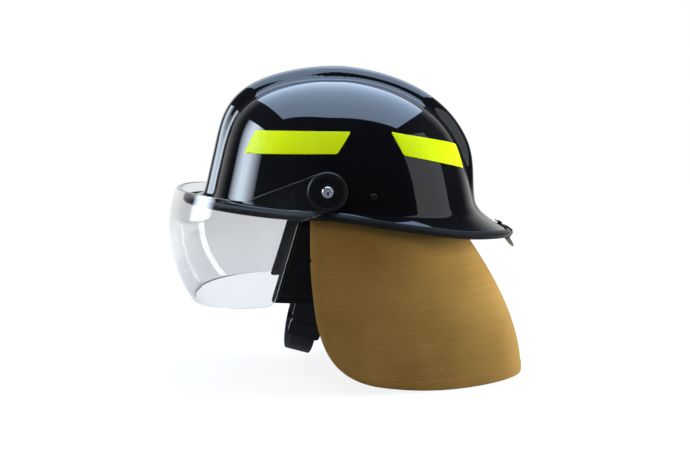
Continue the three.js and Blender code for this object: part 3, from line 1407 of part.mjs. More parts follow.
put("nape_strap_left", napeStrap(1), NYLON_BLACK);
put("nape_strap_right", mirrored(napeStrap(-1)), NYLON_BLACK);
const ratchetPlate = (near, far) =>
  cut(napePlate(RATCHET_HALF_WIDTH, near, far, RATCHET_LOW, RATCHET_HIGH), shaftHole());
put("ratchet_cover", ratchetPlate(COVER_NEAR, COVER_FAR), NYLON_BLACK);
put("ratchet_plate", ratchetPlate(PLATE_NEAR, PLATE_FAR), NYLON_BLACK);
put(
  "nape_pad",
  napePlate(44, PLATE_NEAR - SEAT - 5, PLATE_NEAR - SEAT, RATCHET_LOW - 3, RATCHET_HIGH + 3),
  LEATHER,
);
put("ratchet_pinion", ratchetPinion(), NYLON_BLACK);
put("ratchet_knob", ratchetKnob(), NYLON_BLACK);

put("face_shield", faceShield(), CLEAR);
putPair("pivot_bracket", pivotBracket(), NYLON_BLACK);
putPair("inner_washer", frictionWasher(BRACKET_FACE_X + SEAT), FOAM);
putPair("outer_washer", frictionWasher(EAR_OUTER_X + SEAT), FOAM);
putPair("pivot_disc", pivotDisc(), NYLON_BLACK);
putPair("pivot_screw", pivotScrew(), STEEL);
putPair("pivot_nut", pivotNut(), STEEL);

put("curtain_strip", curtainStrip(), WEBBING);
put("neck_curtain", neckCurtain(), TAN_CLOTH);
put("curtain_lining", curtainLining(), BLACK_CLOTH);
putPair("strip_rivet", wallRivet(STRIP_RIVET_Y, STRIP_RIVET_Z, CURTAIN_INSET), NYLON_BLACK);
putPair(
  "anchor_rivet",
  wallRivet(ANCHOR_Y, ANCHOR_Z, ANCHOR_PLATE_INSET + ANCHOR_PLATE_THICK + SEAT),
  NYLON_BLACK,
);

put("strap_anchor_left", anchorPlate(), STEEL, loop);
put("strap_anchor_right", mirrored(anchorPlate()), STEEL, loop);
put("chin_strap_left", leftWebbing(), WEBBING, loop);
put("chin_strap_right", rightWebbing(), WEBBING, loop);
const buckleFrame = onLeg(1, BUCKLE_JOIN_DEPTH);
put("buckle_socket", buckleSocket(), NYLON_BLACK, buckleFrame);
put("buckle_plug", bucklePlug(), NYLON_BLACK, buckleFrame);
put("strap_slide", strapSlide(), NYLON_BLACK, onLeg(-1, SLIDE_DEPTH));

put("hanger_clip", hangerClip(), NYLON_BLACK);
put("hanger_rivet", hangerRivet(), NYLON_BLACK);
const ring = put("hanger_ring", hangerRing(), STEEL);
ring.position.set(0, ...RING_PIVOT);
ring.rotation.x = degToRad(RING_LEAN_DEG);

export default helmet;
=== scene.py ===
# %% [markdown]
# # A structural firefighter's helmet
# The CAD model is the fixed frame: it holds every size, every moving body and every joint. This
# lesson builds the fine surfaces round it. Each piece says which CAD nodes it stands for, and so
# moves with them. Sizes are in millimetres and are turned into metres as each mesh is made.

# %% Load the frame
import json
import math

import bmesh
import bpy
import numpy as np
from mathutils import Matrix, Vector
from mathutils.geometry import delaunay_2d_cdt


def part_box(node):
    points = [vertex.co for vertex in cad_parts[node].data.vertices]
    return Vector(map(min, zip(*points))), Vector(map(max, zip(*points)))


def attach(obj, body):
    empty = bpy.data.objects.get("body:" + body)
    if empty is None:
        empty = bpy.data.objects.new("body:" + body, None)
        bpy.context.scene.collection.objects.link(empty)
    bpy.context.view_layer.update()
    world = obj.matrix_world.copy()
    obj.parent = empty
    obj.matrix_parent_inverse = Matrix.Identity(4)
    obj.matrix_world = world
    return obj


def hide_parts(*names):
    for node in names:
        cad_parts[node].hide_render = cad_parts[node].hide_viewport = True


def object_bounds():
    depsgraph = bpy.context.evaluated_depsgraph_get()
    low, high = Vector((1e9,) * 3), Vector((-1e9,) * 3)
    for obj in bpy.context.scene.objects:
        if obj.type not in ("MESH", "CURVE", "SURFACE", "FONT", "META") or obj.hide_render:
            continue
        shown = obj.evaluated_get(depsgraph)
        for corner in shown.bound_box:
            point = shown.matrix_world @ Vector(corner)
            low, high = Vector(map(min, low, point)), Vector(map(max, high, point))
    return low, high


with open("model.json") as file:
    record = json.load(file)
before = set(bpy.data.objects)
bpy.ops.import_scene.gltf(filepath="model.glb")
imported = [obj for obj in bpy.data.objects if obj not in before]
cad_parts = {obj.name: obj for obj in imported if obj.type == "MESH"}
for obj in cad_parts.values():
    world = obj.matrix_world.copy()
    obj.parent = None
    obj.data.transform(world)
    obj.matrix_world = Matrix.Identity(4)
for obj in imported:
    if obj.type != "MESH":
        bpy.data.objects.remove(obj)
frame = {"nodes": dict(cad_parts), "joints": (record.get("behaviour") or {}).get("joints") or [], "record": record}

MM = 0.001
MM_IN_METRE = 1000.0
cad_low, cad_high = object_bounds()
print("CAD box in mm:", [round(v / MM, 1) for v in cad_high - cad_low])

# %% [markdown]
# ## Which body a piece has
# The imported record lists each body's nodes, and each node's material slot. A piece takes its body
# from the first node that it replaces, so the body needs no repeating.

# %% Look up bodies
record = frame["record"]
BODY_OF = {node: body for body, nodes in record["behaviour"]["bodies"].items() for node in nodes}


def stands_for(piece, *nodes):
    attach(piece, BODY_OF[nodes[0]])
    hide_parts(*nodes)
    return piece


def box_mm(node):
    low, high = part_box(node)
    return low / MM, high / MM


# %% [markdown]
# ## Small number helpers
# The same few functions shape every surface: straight mixing, a step with soft ends, even spacing,
# and places on a circle.

# %% Number helpers


def lerp(a, b, t):
    return a + (b - a) * t


def eased(t):
    """A share from 0 to 1, slowed down at both ends."""
    return t * t * (3 - 2 * t)


def smoothstep(value, low, high):
    return eased(min(1.0, max(0.0, (value - low) / (high - low))))


def span(count, low=0.0, high=1.0):
    return [lerp(low, high, i / (count - 1)) for i in range(count)]


def full_turn(count):
    return [2 * math.pi * i / count for i in range(count)]


def polar(radius, angle):
    return radius * math.cos(angle), radius * math.sin(angle)


def circle(centre, radius, angles):
    return [(centre[0] + a, centre[1] + b) for a, b in (polar(radius, t) for t in angles)]


print("a quarter of the way, eased:", eased(0.25))

# %% [markdown]
# ## Making a mesh
# Every piece is a list of points and faces. The helper turns millimetres into metres, turns the
# faces outwards, smooths the shading and can store cloth coordinates, in metres along and across
# the thread, as an attribute that the fabric materials read.

# %% Mesh helper


def add_mesh(name, points, faces, material, thread=None):
    mesh = bpy.data.meshes.new(name)
    mesh.from_pydata([Vector(p) * MM for p in points], [], faces)
    if thread is not None:
        attribute = mesh.attributes.new("thread", "FLOAT_VECTOR", "POINT")
        values = [c * MM for u, v in thread for c in (u, v, 0)]
        attribute.data.foreach_set("vector", values)
    bm = bmesh.new()
    bm.from_mesh(mesh)
    bmesh.ops.recalc_face_normals(bm, faces=bm.faces)
    bm.to_mesh(mesh)
    bm.free()
    mesh.polygons.foreach_set("use_smooth", [True] * len(mesh.polygons))
    mesh.materials.append(material)
    piece = bpy.data.objects.new(name, mesh)
    bpy.context.collection.objects.link(piece)
    return piece


print("meshes before the first new piece:", len(bpy.data.meshes))

# %% [markdown]
# ## Lofting
# Most of the helmet's hard pieces are lofts: closed rings of points, one after another, joined by
# four-sided faces. The ends are closed to a point, or the last ring is joined to the first.

# %% Loft helpers


def joined(ring, after):
    """Four-sided faces between two rings of equally many point numbers."""
    n = len(ring)
    return [(ring[j], ring[(j + 1) % n], after[(j + 1) % n], after[j]) for j in range(n)]


def loft(name, rings, material, wrap=False, poles=None, thread=None):
    """Joins closed rings of equally many points. Without wrap, each end is closed to a pole."""
    n = len(rings[0])
    points = [p for ring in rings for p in ring]
    faces = []
    for i in range(len(rings) - (0 if wrap else 1)):
        a, b = i * n, (i + 1) % len(rings) * n
        faces += joined(range(a, a + n), range(b, b + n))
    if not wrap:
        for ring, pole in ((0, 0), (len(rings) - 1, 1)):
            middle = np.mean(rings[ring], axis=0) if poles is None else poles[pole]
            points.append(tuple(middle))
            tip = len(points) - 1
            faces += [(ring * n + j, ring * n + (j + 1) % n, tip) for j in range(n)]
    if thread is not None:
        thread = [t for row in thread for t in row] + [(0, 0)] * (0 if wrap else 2)
    return add_mesh(name, points, faces, material, thread)


def even_normals(piece):
    """Shades flat faces flat and small rounded edges round."""
    modifier = piece.modifiers.new("Even normals", "WEIGHTED_NORMAL")
    modifier.keep_sharp = True
    return piece


print("CAD nodes to work round:", len(frame["nodes"]))

# %% [markdown]
# ## Turned pieces
# Rivets and discs are turned about a level axis, from side to side. The profile is a list of radius
# and distance pairs, and each of its corners is rounded a little, since no moulded or machined edge
# is perfectly sharp and the small radius is what catches the light.

# %% Turned pieces


def soften(profile, radius, steps=3):
    """Rounds the corners of a line of [a, b] points."""
    line = [np.array(p, float) for p in profile]
    out = [line[0]]
    for before, here, after in zip(line, line[1:], line[2:]):
        back, on = before - here, after - here
        reach = min(radius, 0.45 * np.linalg.norm(back), 0.45 * np.linalg.norm(on))
        start = here + back / np.linalg.norm(back) * reach
        end = here + on / np.linalg.norm(on) * reach
        for t in span(steps + 1):
            out.append((1 - t) ** 2 * start + 2 * t * (1 - t) * here + t * t * end)
    return [tuple(p) for p in [*out, line[-1]]]


def turned(name, profile, material, centre, segments=64, edge=0.35):
    """A solid turned about the X axis through centre. The profile starts and ends on the axis."""
    place = lambda r, h, t: tuple(Vector((h, *polar(r, t))) + Vector(centre))
    inner = [p for p in soften(profile, edge) if p[0] > 1e-6]
    rings = [[place(r, h, t) for t in full_turn(segments)] for r, h in inner]
    poles = [place(0, profile[0][1], 0), place(0, profile[-1][1], 0)]
    return even_normals(loft(name, rings, material, poles=poles))


print("a square corner gets", len(soften([(0, 0), (1, 0), (1, 1)], 0.2)) - 2, "points")

# %% [markdown]
# ## Finer copies of machined pieces
# Buckles, keys and plates already have their true shape in the CAD model, with sharp edges. A
# copy with its flat faces joined and its edges bevelled keeps the size and gains the highlights.

# %% Bevelled copies
WELD, FLAT_DEG, BEVEL_SEGMENTS = 0.02, 2, 3


def finer(node, material, bevel=0.5, edge_deg=28):
    mesh = frame["nodes"][node].data.copy()
    mesh.name = node + "_fine"
    bm = bmesh.new()
    bm.from_mesh(mesh)
    bmesh.ops.remove_doubles(bm, verts=bm.verts, dist=WELD * MM)
    bmesh.ops.dissolve_limit(
        bm,
        angle_limit=math.radians(FLAT_DEG),
        verts=bm.verts,
        edges=bm.edges,
        use_dissolve_boundaries=False,
    )
    bm.to_mesh(mesh)
    bm.free()
    mesh.materials.clear()
    mesh.materials.append(material)
    mesh.polygons.foreach_set("use_smooth", [True] * len(mesh.polygons))
    piece = bpy.data.objects.new(node + "_fine", mesh)
    bpy.context.collection.objects.link(piece)
    modifier = piece.modifiers.new("Edge radius", "BEVEL")
    modifier.width = bevel * MM
    modifier.segments = BEVEL_SEGMENTS
    modifier.limit_method = "ANGLE"
    modifier.angle_limit = math.radians(edge_deg)
    even_normals(piece)
    return stands_for(piece, node)


print("copies join faces that turn by less than", FLAT_DEG, "degrees")

# %% [markdown]
# ## Flat outlines
# The face shield, the cloth and the webbing strip are sheets, and a sheet starts as a flat outline.
# These tools measure a closed line, move it in or out, and put even points on it.

# %% Flat outline tools


def area_of(loop):
    x, y = np.array(loop).T
    return 0.5 * float(np.sum(x * np.roll(y, -1) - np.roll(x, -1) * y))


def anticlockwise(loop):
    return loop if area_of(loop) > 0 else loop[::-1]


def offset_loop(loop, distance):
    """Moves a closed anticlockwise loop outwards by a distance."""
    p = np.array(loop, float)
    d = np.roll(p, -1, 0) - p
    d /= np.linalg.norm(d, axis=1)[:, None] + 1e-12
    normal = np.stack([d[:, 1], -d[:, 0]], 1)
    corner = normal + np.roll(normal, 1, 0)
    size = np.maximum(0.5, np.sum(corner * corner, 1))
    return p + corner / size[:, None] * 2 * distance


def even_loop(points, step, closed=True):
    """Points at even steps along a line, with its corners kept."""
    out = []
    line = list(points) + ([points[0]] if closed else [])
    for (ax, ay), (bx, by) in zip(line, line[1:]):
        parts = max(1, round(math.hypot(bx - ax, by - ay) / step))
        out += [(lerp(ax, bx, i / parts), lerp(ay, by, i / parts)) for i in range(parts)]
    return out + ([] if closed else [tuple(points[-1])])


print("a square of 10 by 10 covers", area_of([(0, 0), (10, 0), (10, 10), (0, 10)]))

# %% [markdown]
# ## Inside or near an outline
# To fill an outline, each place has to be sorted: inside or outside, and how far from the edge. A
# line drawn sideways from a place inside crosses the outline an odd number of times.

# %% Inside and near


def within(points, loop):
    """Which points lie inside a loop."""
    x, y = np.array(points).T
    inside = np.zeros(len(x), bool)
    for (ax, ay), (bx, by) in zip(loop, np.roll(loop, -1, 0)):
        crosses = (ay > y) != (by > y)
        at = ax + (y - ay) / (by - ay if by != ay else 1e-12) * (bx - ax)
        inside ^= crosses & (x < at)
    return inside


def reach_to(points, loop):
    """Distance from each point to the nearest place on a loop."""
    p = np.array(points, float)
    best = np.full(len(p), 1e9)
    for a, b in zip(np.array(loop), np.roll(loop, -1, 0)):
        d = b - a
        t = np.clip((p - a) @ d / (d @ d + 1e-12), 0, 1)
        best = np.minimum(best, np.linalg.norm(p - a - t[:, None] * d, axis=1))
    return best


square = [(0, 0), (10, 0), (10, 10), (0, 10)]
print("inside the square:", [bool(found) for found in within([(5, 5), (15, 5)], square)])

# %% [markdown]
# ## Filling an outline
# A sheet bends smoothly only if its faces are small and even. A grid of points in staggered rows
# fills the outline, points too near an edge or in a hole are left out, and a triangulation that
# keeps to the edges joins the rest.

# %% Fill an outline
ROW_SPACING, GRID_CLEARANCE = 0.866, 0.45


def filled(loops, step):
    """Even triangles inside the first loop and outside the others, and where each loop point went."""
    points = [tuple(p) for loop in loops for p in loop]
    edges, base = [], 0
    for loop in loops:
        edges += [(base + i, base + (i + 1) % len(loop)) for i in range(len(loop))]
        base += len(loop)
    low, high = loops[0].min(0), loops[0].max(0)
    grid = []
    for j, v in enumerate(np.arange(low[1], high[1], step * ROW_SPACING)):
        grid += [(u + (j % 2) * step / 2, v) for u in np.arange(low[0], high[0], step)]
    clear = within(grid, loops[0]) & (reach_to(grid, loops[0]) > step * GRID_CLEARANCE)
    for loop in loops[1:]:
        clear &= (reach_to(grid, loop) > step * GRID_CLEARANCE) & ~within(grid, loop)
    spots = [Vector(p) for p in points + [p for p, keep in zip(grid, clear) if keep]]
    flat, _, triangles, origin, _, _ = delaunay_2d_cdt(spots, edges, [], 0, 1e-6)
    where = {source: i for i, sources in enumerate(origin) for source in sources}
    middles = np.array([[sum(flat[i][k] for i in t) / 3 for k in (0, 1)] for t in triangles])
    keep = within(middles, loops[0])
    for loop in loops[1:]:
        keep &= ~within(middles, loop)
    return flat, [t for t, k in zip(triangles, keep) if k], where


patch = np.array([(0.0, 0.0), (9.0, 0.0), (9.0, 9.0), (0.0, 9.0)])
print("a small square is filled with", len(filled([patch], 3.0)[1]), "triangles")

# %% [markdown]
# ## Cutting a sheet
# Each point of the filled outline is placed on the curved surface twice, outside and inside. Rings
# of points between the two layers round the rim off, at the outline and at each hole.

# %% Cut a sheet
RIM_STEPS = 3


def cut_sheet(name, outline, place, thick, material, step, lip, holes=()):
    """A sheet inside an outline of [u, v]; place(u, v, depth) gives its point, from 0 to thick."""
    loops = [offset_loop(anticlockwise(outline), -lip)]
    loops += [offset_loop(anticlockwise(hole), lip)[::-1] for hole in holes]
    flat, triangles, where = filled(loops, step)
    count = len(flat)
    made = [place(u, v, 0) for u, v in flat] + [place(u, v, thick) for u, v in flat]
    thread = [(u, v) for u, v in flat] * 2
    faces = [tuple(t) for t in triangles] + [tuple(i + count for i in reversed(t)) for t in triangles]
    quarter = [math.pi / 2 * (i + 1) / RIM_STEPS for i in range(RIM_STEPS)]
    section = [(lip * math.sin(a), lip * (1 - math.cos(a))) for a in quarter]
    section += [(out, thick - depth) for out, depth in reversed(section)]
    base = 0
    for loop in loops:
        outside = [where[base + i] for i in range(len(loop))]
        ring = outside
        for out, depth in section:
            moved = offset_loop(loop, out)
            after = range(len(made), len(made) + len(loop))
            made += [place(u, v, depth) for u, v in moved]
            thread += [tuple(p) for p in moved]
            faces += joined(ring, after)
            ring = after
        faces += joined(ring, [i + count for i in outside])
        base += len(loop)
    piece = add_mesh(name, made, faces, material, thread)
    rim = piece.data.attributes.new("rim", "FLOAT", "POINT")
    rim.data.foreach_set("value", [0.0] * 2 * count + [1.0] * (len(made) - 2 * count))
    return piece


print("a sheet's rim is rounded in", 2 * RIM_STEPS, "steps")

# %% [markdown]
# ## Building a material
# A material is a small net of nodes. The first helper adds a node, links a socket where it is given
# one and sets a plain value otherwise. The others mix colours, change a value's range and turn a
# height into a bump, so that each material below reads as a list of its parts.

# %% Node helpers


def add_node(tree, kind, inputs=None, **settings):
    made = tree.nodes.new(kind)
    for key, value in settings.items():
        setattr(made, key, value)
    for key, value in (inputs or {}).items():
        socket = made.inputs[key]
        if isinstance(value, bpy.types.NodeSocket):
            tree.links.new(value, socket)
        else:
            socket.default_value = value
    return made


def maths(tree, operation, a, b=0.0, clamp=False):
    made = add_node(tree, "ShaderNodeMath", {0: a, 1: b}, operation=operation, use_clamp=clamp)
    return made.outputs[0]


def mix_colours(tree, amount, first, second):
    made = add_node(tree, "ShaderNodeMix", {0: amount, 6: first, 7: second}, data_type="RGBA")
    return made.outputs[2]


def in_range(tree, value, low, high):
    """Spreads a value of 0 to 1 over a new range."""
    made = add_node(tree, "ShaderNodeMapRange", {"Value": value, "To Min": low, "To Max": high})
    return made.outputs["Result"]


def from_range(tree, value, low, high):
    """Brings a range of a value to 0 to 1."""
    made = add_node(tree, "ShaderNodeMapRange", {"Value": value, "From Min": low, "From Max": high})
    return made.outputs["Result"]


def bump(tree, height, distance):
    made = add_node(tree, "ShaderNodeBump", {"Height": height, "Distance": distance * MM})
    return made.outputs["Normal"]


print("one millimetre of bump is", MM, "in Blender's metres")

# %% [markdown]
# ## Where a pattern lies
# A pattern needs a place to be drawn at. Hard pieces use the object's own place, in metres. Cloth
# and the shield's rim read a value that the mesh stores at each point.

# %% Pattern helpers


def colour(red, green, blue):
    return (red, green, blue, 1.0)


def object_place(tree):
    return add_node(tree, "ShaderNodeTexCoord").outputs["Object"]


def stored(tree, name, output):
    """A value that the mesh keeps at each point."""
    return add_node(tree, "ShaderNodeAttribute", attribute_name=name).outputs[output]


def noise(tree, place, scale, detail):
    made = add_node(tree, "ShaderNodeTexNoise", {"Vector": place, "Scale": scale, "Detail": detail})
    return made.outputs[0]


print("a full white is", colour(1, 1, 1))

# %% [markdown]
# ## Building a node group
# An effect that several finishes share is a node group, built once, with named inputs and outputs.
# A material places the group and gives it its own values.

# %% Group helpers


def new_group(name, inputs, outputs):
    """A shader node group with named inputs (value) and outputs."""
    tree = bpy.data.node_groups.new(name, "ShaderNodeTree")
    for label, value in inputs.items():
        kind = "NodeSocketVector" if value is None else "NodeSocketFloat"
        socket = tree.interface.new_socket(label, in_out="INPUT", socket_type=kind)
        if value is not None:
            socket.default_value = value
    for label in outputs:
        tree.interface.new_socket(label, in_out="OUTPUT", socket_type="NodeSocketFloat")
    return tree, tree.nodes.new("NodeGroupInput").outputs, tree.nodes.new("NodeGroupOutput").inputs


def use_group(tree, group, **inputs):
    labelled = {key.replace("_", " ").capitalize(): value for key, value in inputs.items()}
    return add_node(tree, "ShaderNodeGroup", labelled, node_tree=group).outputs


print("node groups so far:", len(bpy.data.node_groups))

# %% [markdown]
# ## Edge wear
# Paint and moulded skin rub thin on outward corners first. Pointiness is high on such corners, and
# noise breaks the line up, so that the wear comes in patches.

# %% Edge wear group
WORN_FROM, WORN_FULLY = 0.53, 0.62
edge_wear, source, sink = new_group("Edge wear", {"Amount": 0.5, "Patch size": 12.0}, ["Mask"])
corner = add_node(edge_wear, "ShaderNodeNewGeometry").outputs["Pointiness"]
per_metre = maths(edge_wear, "DIVIDE", MM_IN_METRE, source["Patch size"])
patches = noise(edge_wear, object_place(edge_wear), per_metre, 6.0)
sharp = from_range(edge_wear, corner, WORN_FROM, WORN_FULLY)
torn = maths(edge_wear, "MULTIPLY", sharp, patches)
edge_wear.links.new(maths(edge_wear, "MULTIPLY", torn, source["Amount"], clamp=True), sink["Mask"])
print("group:", edge_wear.name)

# %% [markdown]
# ## Dust
# Fine dust settles on what faces up. The mask is the upward share of the normal, broken up by
# noise at two sizes.

# %% Dust group
DRIFT_SCALE, DUST_GAIN = 14.0, 2.4
dust, source, sink = new_group("Dust", {"Amount": 0.3, "Speck size": 2.0}, ["Mask"])
normal = add_node(dust, "ShaderNodeNewGeometry").outputs["Normal"]
upward = add_node(dust, "ShaderNodeSeparateXYZ", {0: normal}).outputs["Z"]
place = object_place(dust)
specks = noise(dust, place, maths(dust, "DIVIDE", MM_IN_METRE, source["Speck size"]), 8.0)
drift = noise(dust, place, DRIFT_SCALE, 3.0)
facing = maths(dust, "ADD", maths(dust, "MULTIPLY", upward, 0.5), 0.5, clamp=True)
cloud = maths(dust, "MULTIPLY", specks, drift)
settled = maths(dust, "MULTIPLY", maths(dust, "MULTIPLY", cloud, facing), DUST_GAIN)
dust.links.new(maths(dust, "MULTIPLY", settled, source["Amount"], clamp=True), sink["Mask"])
print("group:", dust.name)

# %% [markdown]
# ## Moulded grain
# Moulds are spark-eroded to a fine pebbled skin. Noise at the grain's own size, with a coarser
# layer for the slight unevenness of any moulding, gives its height.

# %% Grain group
UNEVEN_SCALE = 60.0
grain, source, sink = new_group("Moulded grain", {"Grain size": 0.8}, ["Height", "Patchiness"])
place = object_place(grain)
fine = noise(grain, place, maths(grain, "DIVIDE", MM_IN_METRE, source["Grain size"]), 2.0)
grain.links.new(fine, sink["Height"])
grain.links.new(noise(grain, place, UNEVEN_SCALE, 3.0), sink["Patchiness"])
print("group:", grain.name)

# %% [markdown]
# ## Weave
# Cloth and webbing are threads that pass over and under each other. The group works in the cloth's
# own coordinates. Twill moves over by some threads in each row, which draws its slanting ribs, and
# each thread has its own shade, which draws the long streaks.

# %% Weave group
STREAK_STRETCH = 0.02
weave, source, sink = new_group(
    "Weave",
    {"Thread": None, "Across pitch": 1.0, "Along pitch": 1.0, "Twill step": 1.0},
    ["Height", "Over", "Streak"],
)
axes = add_node(weave, "ShaderNodeSeparateXYZ", {0: source["Thread"]}).outputs
warp = maths(weave, "DIVIDE", maths(weave, "MULTIPLY", axes["X"], MM_IN_METRE), source["Across pitch"])
weft = maths(weave, "DIVIDE", maths(weave, "MULTIPLY", axes["Y"], MM_IN_METRE), source["Along pitch"])
slanted = maths(weave, "ADD", warp, maths(weave, "MULTIPLY", weft, source["Twill step"]))
rib = maths(weave, "SINE", maths(weave, "MULTIPLY", slanted, 2 * math.pi))
over = maths(weave, "ADD", maths(weave, "MULTIPLY", rib, 0.5), 0.5)
strand = maths(weave, "ABSOLUTE", maths(weave, "SINE", maths(weave, "MULTIPLY", weft, math.pi)))
height = maths(weave, "MULTIPLY", maths(weave, "ADD", over, 0.6), strand)
row = add_node(weave, "ShaderNodeCombineXYZ", {0: maths(weave, "MULTIPLY", warp, STREAK_STRETCH), 1: weft})
uneven = from_range(weave, noise(weave, row.outputs[0], 0.5, 4.0), 0.1, 0.9)
weave.links.new(height, sink["Height"])
weave.links.new(over, sink["Over"])
weave.links.new(uneven, sink["Streak"])
print("group:", weave.name)

# %% [markdown]
# ## A plain start for each material
# Every finish begins from one shader. Values that are the same all over are set on its own
# sockets, and only what changes over the surface is linked.

# %% Start a material


def start_material(name, **plain):
    material = bpy.data.materials.new(name)
    material.use_nodes = True
    shader = material.node_tree.nodes["Principled BSDF"]
    for key, value in plain.items():
        shader.inputs[key.replace("_", " ").title().replace("Ior", "IOR")].default_value = value
    return material, material.node_tree, shader.inputs


def link(tree, sockets, **links):
    for key, value in links.items():
        tree.links.new(value, sockets[key.replace("_", " ").title()])


print("materials before the first finish:", len(bpy.data.materials))

# %% [markdown]
# ## Gloss black shell
# The shell is a deep, polished thermoset. It is nearly black, with a very smooth skin that shows
# the lamps as clean shapes, a faint waviness of the moulding, and dust that dulls it slightly.

# %% Shell material
shell_black, tree, sockets = start_material("Gloss black shell", specular_ior_level=0.5)
worn = use_group(tree, edge_wear, amount=0.35, patch_size=9.0)["Mask"]
dusty = use_group(tree, dust, amount=0.05, speck_size=1.2)["Mask"]
deep = mix_colours(tree, worn, colour(0.0022, 0.0024, 0.0032), colour(0.018, 0.018, 0.02))
skin = mix_colours(tree, dusty, deep, colour(0.12, 0.12, 0.12))
wavy = bump(tree, noise(tree, object_place(tree), 42.0, 1.0), 0.012)
link(tree, sockets, base_color=skin, roughness=in_range(tree, dusty, 0.03, 0.4), normal=wavy)
print("material:", shell_black.name)

# %% [markdown]
# ## Rubber edge trim
# The trim is an extruded rubber channel. Rubber is softer looking than the shell: its highlight is
# broad, and its skin has a fine grain.

# %% Trim material
trim_rubber, tree, sockets = start_material("Rubber edge trim", specular_ior_level=0.22)
pebble = use_group(tree, grain, grain_size=0.6)
dusty = use_group(tree, dust, amount=0.06, speck_size=1.0)["Mask"]
skin = mix_colours(tree, dusty, colour(0.005, 0.0055, 0.006), colour(0.06, 0.06, 0.06))
rough = in_range(tree, pebble["Patchiness"], 0.32, 0.5)
link(tree, sockets, base_color=skin, roughness=rough, normal=bump(tree, pebble["Height"], 0.03))
print("material:", trim_rubber.name)

# %% [markdown]
# ## Lime reflectors
# Each reflector is a fluorescent film over rows of tiny prisms. Cells a millimetre or two across
# are just visible in it, and a weak painted glow in the film's own colour makes it brighter than the light that
# falls on it.

# %% Reflector material


def cell_edges(tree, scale):
    """How far each place is from the edge of its cell."""
    inputs = {"Vector": object_place(tree), "Scale": scale}
    return add_node(tree, "ShaderNodeTexVoronoi", inputs, feature="DISTANCE_TO_EDGE").outputs[0]


# The emission strength is a painted glow: the film gives off light though it is no lamp.
lime_reflector_painted_glow, tree, sockets = start_material(
    "Lime reflector", roughness=0.35, specular_ior_level=0.12, emission_strength=0.14
)
seam = from_range(tree, cell_edges(tree, 620.0), 0.0, 0.12)
broad = use_group(tree, grain, grain_size=25.0)["Height"]
film = mix_colours(tree, broad, colour(0.44, 0.55, 0.001), colour(0.52, 0.63, 0.002))
lime = mix_colours(tree, seam, colour(0.38, 0.50, 0.001), film)
prisms = bump(tree, seam, 0.01)
# The lime colour is also the colour of the painted glow.
link(tree, sockets, base_color=lime, emission_color=lime, normal=prisms)
print("material:", lime_reflector_painted_glow.name)

# %% [markdown]
# ## Moulded nylon
# Brackets, buckles, keys and the headband are glass-filled nylon: dark, satin, finely pebbled, and
# rubbed a little brighter along the edges.

# %% Nylon material
nylon_black, tree, sockets = start_material("Moulded nylon", specular_ior_level=0.22)
pebble = use_group(tree, grain, grain_size=0.5)
worn = use_group(tree, edge_wear, amount=0.8, patch_size=4.0)["Mask"]
dusty = use_group(tree, dust, amount=0.03, speck_size=0.8)["Mask"]
rubbed = mix_colours(tree, worn, colour(0.0035, 0.0035, 0.004), colour(0.03, 0.03, 0.032))
skin = mix_colours(tree, dusty, rubbed, colour(0.05, 0.05, 0.05))
rough = in_range(tree, pebble["Patchiness"], 0.26, 0.42)
link(tree, sockets, base_color=skin, roughness=rough, normal=bump(tree, pebble["Height"], 0.025))
print("material:", nylon_black.name)

# %% [markdown]
# ## Webbing
# Chin strap, crown straps and the curtain's strip are woven nylon tape, with ribs across it.

# %% Webbing material
webbing_black, tree, sockets = start_material("Woven tape", roughness=0.62, specular_ior_level=0.4)
thread = stored(tree, "thread", "Vector")
tape = use_group(tree, weave, thread=thread, across_pitch=1.5, along_pitch=1.1, twill_step=0.5)
fibre = mix_colours(tree, tape["Over"], colour(0.004, 0.004, 0.006), colour(0.018, 0.018, 0.023))
shade = mix_colours(tree, tape["Streak"], fibre, colour(0.01, 0.01, 0.014))
link(tree, sockets, base_color=shade, normal=bump(tree, tape["Height"], 0.18))
print("material:", webbing_black.name)

# %% [markdown]
# ## Tan curtain cloth
# The curtain is a flame-resistant aramid twill in khaki tan. Its ribs are fine, and uneven yarn
# gives it long level streaks of lighter and darker thread. Broad soft patches pulled towards the dark yarn are
# painted shade of broad folds. A little fuzz lightens it at the edge.

# %% Curtain material
curtain_tan, tree, sockets = start_material(
    "Tan aramid cloth", roughness=0.85, specular_ior_level=0.1, sheen_weight=0.04, sheen_roughness=0.5
)
thread = stored(tree, "thread", "Vector")
twill = use_group(tree, weave, thread=thread, across_pitch=2.3, along_pitch=1.15, twill_step=0.5)
dark_yarn_and_fold_shade = colour(0.19, 0.10, 0.022)
yarn = mix_colours(tree, twill["Streak"], colour(0.28, 0.152, 0.034), colour(0.41, 0.245, 0.068))
cloth = mix_colours(tree, in_range(tree, twill["Over"], 0.0, 0.5), yarn, dark_yarn_and_fold_shade)
# Broad random patches pulled towards the dark yarn colour are painted shade, standing in for the shading of broad
# folds.
uneven = in_range(tree, noise(tree, object_place(tree), 14.0, 6.0), -0.5, 1.0)
cloth = mix_colours(tree, uneven, cloth, dark_yarn_and_fold_shade)
link(tree, sockets, base_color=cloth, normal=bump(tree, twill["Height"], 0.16))
print("material:", curtain_tan.name)

# %% [markdown]
# ## Black lining cloth
# The lining is a softer black cloth with the same kind of weave, quilted to a thin batting. It
# takes almost all the light that reaches it.

# %% Lining material
lining_black, tree, sockets = start_material(
    "Black lining cloth", roughness=0.95, specular_ior_level=0.1, sheen_weight=0.02
)
thread = stored(tree, "thread", "Vector")
twill = use_group(tree, weave, thread=thread, across_pitch=1.6, along_pitch=1.0, twill_step=0.5)
yarn = mix_colours(tree, twill["Over"], colour(0.0025, 0.0025, 0.003), colour(0.008, 0.008, 0.0095))
cloth = mix_colours(tree, twill["Streak"], yarn, colour(0.005, 0.005, 0.006))
link(tree, sockets, base_color=cloth, normal=bump(tree, twill["Height"], 0.2))
print("material:", lining_black.name)

# %% [markdown]
# ## Padding leather and liner foam
# Pads that touch the head are thin black leather over foam. Its grain is cells with sunken edges.
# The impact liner is moulded bead foam, whose beads show as small rounded cells.

# %% Leather and foam materials


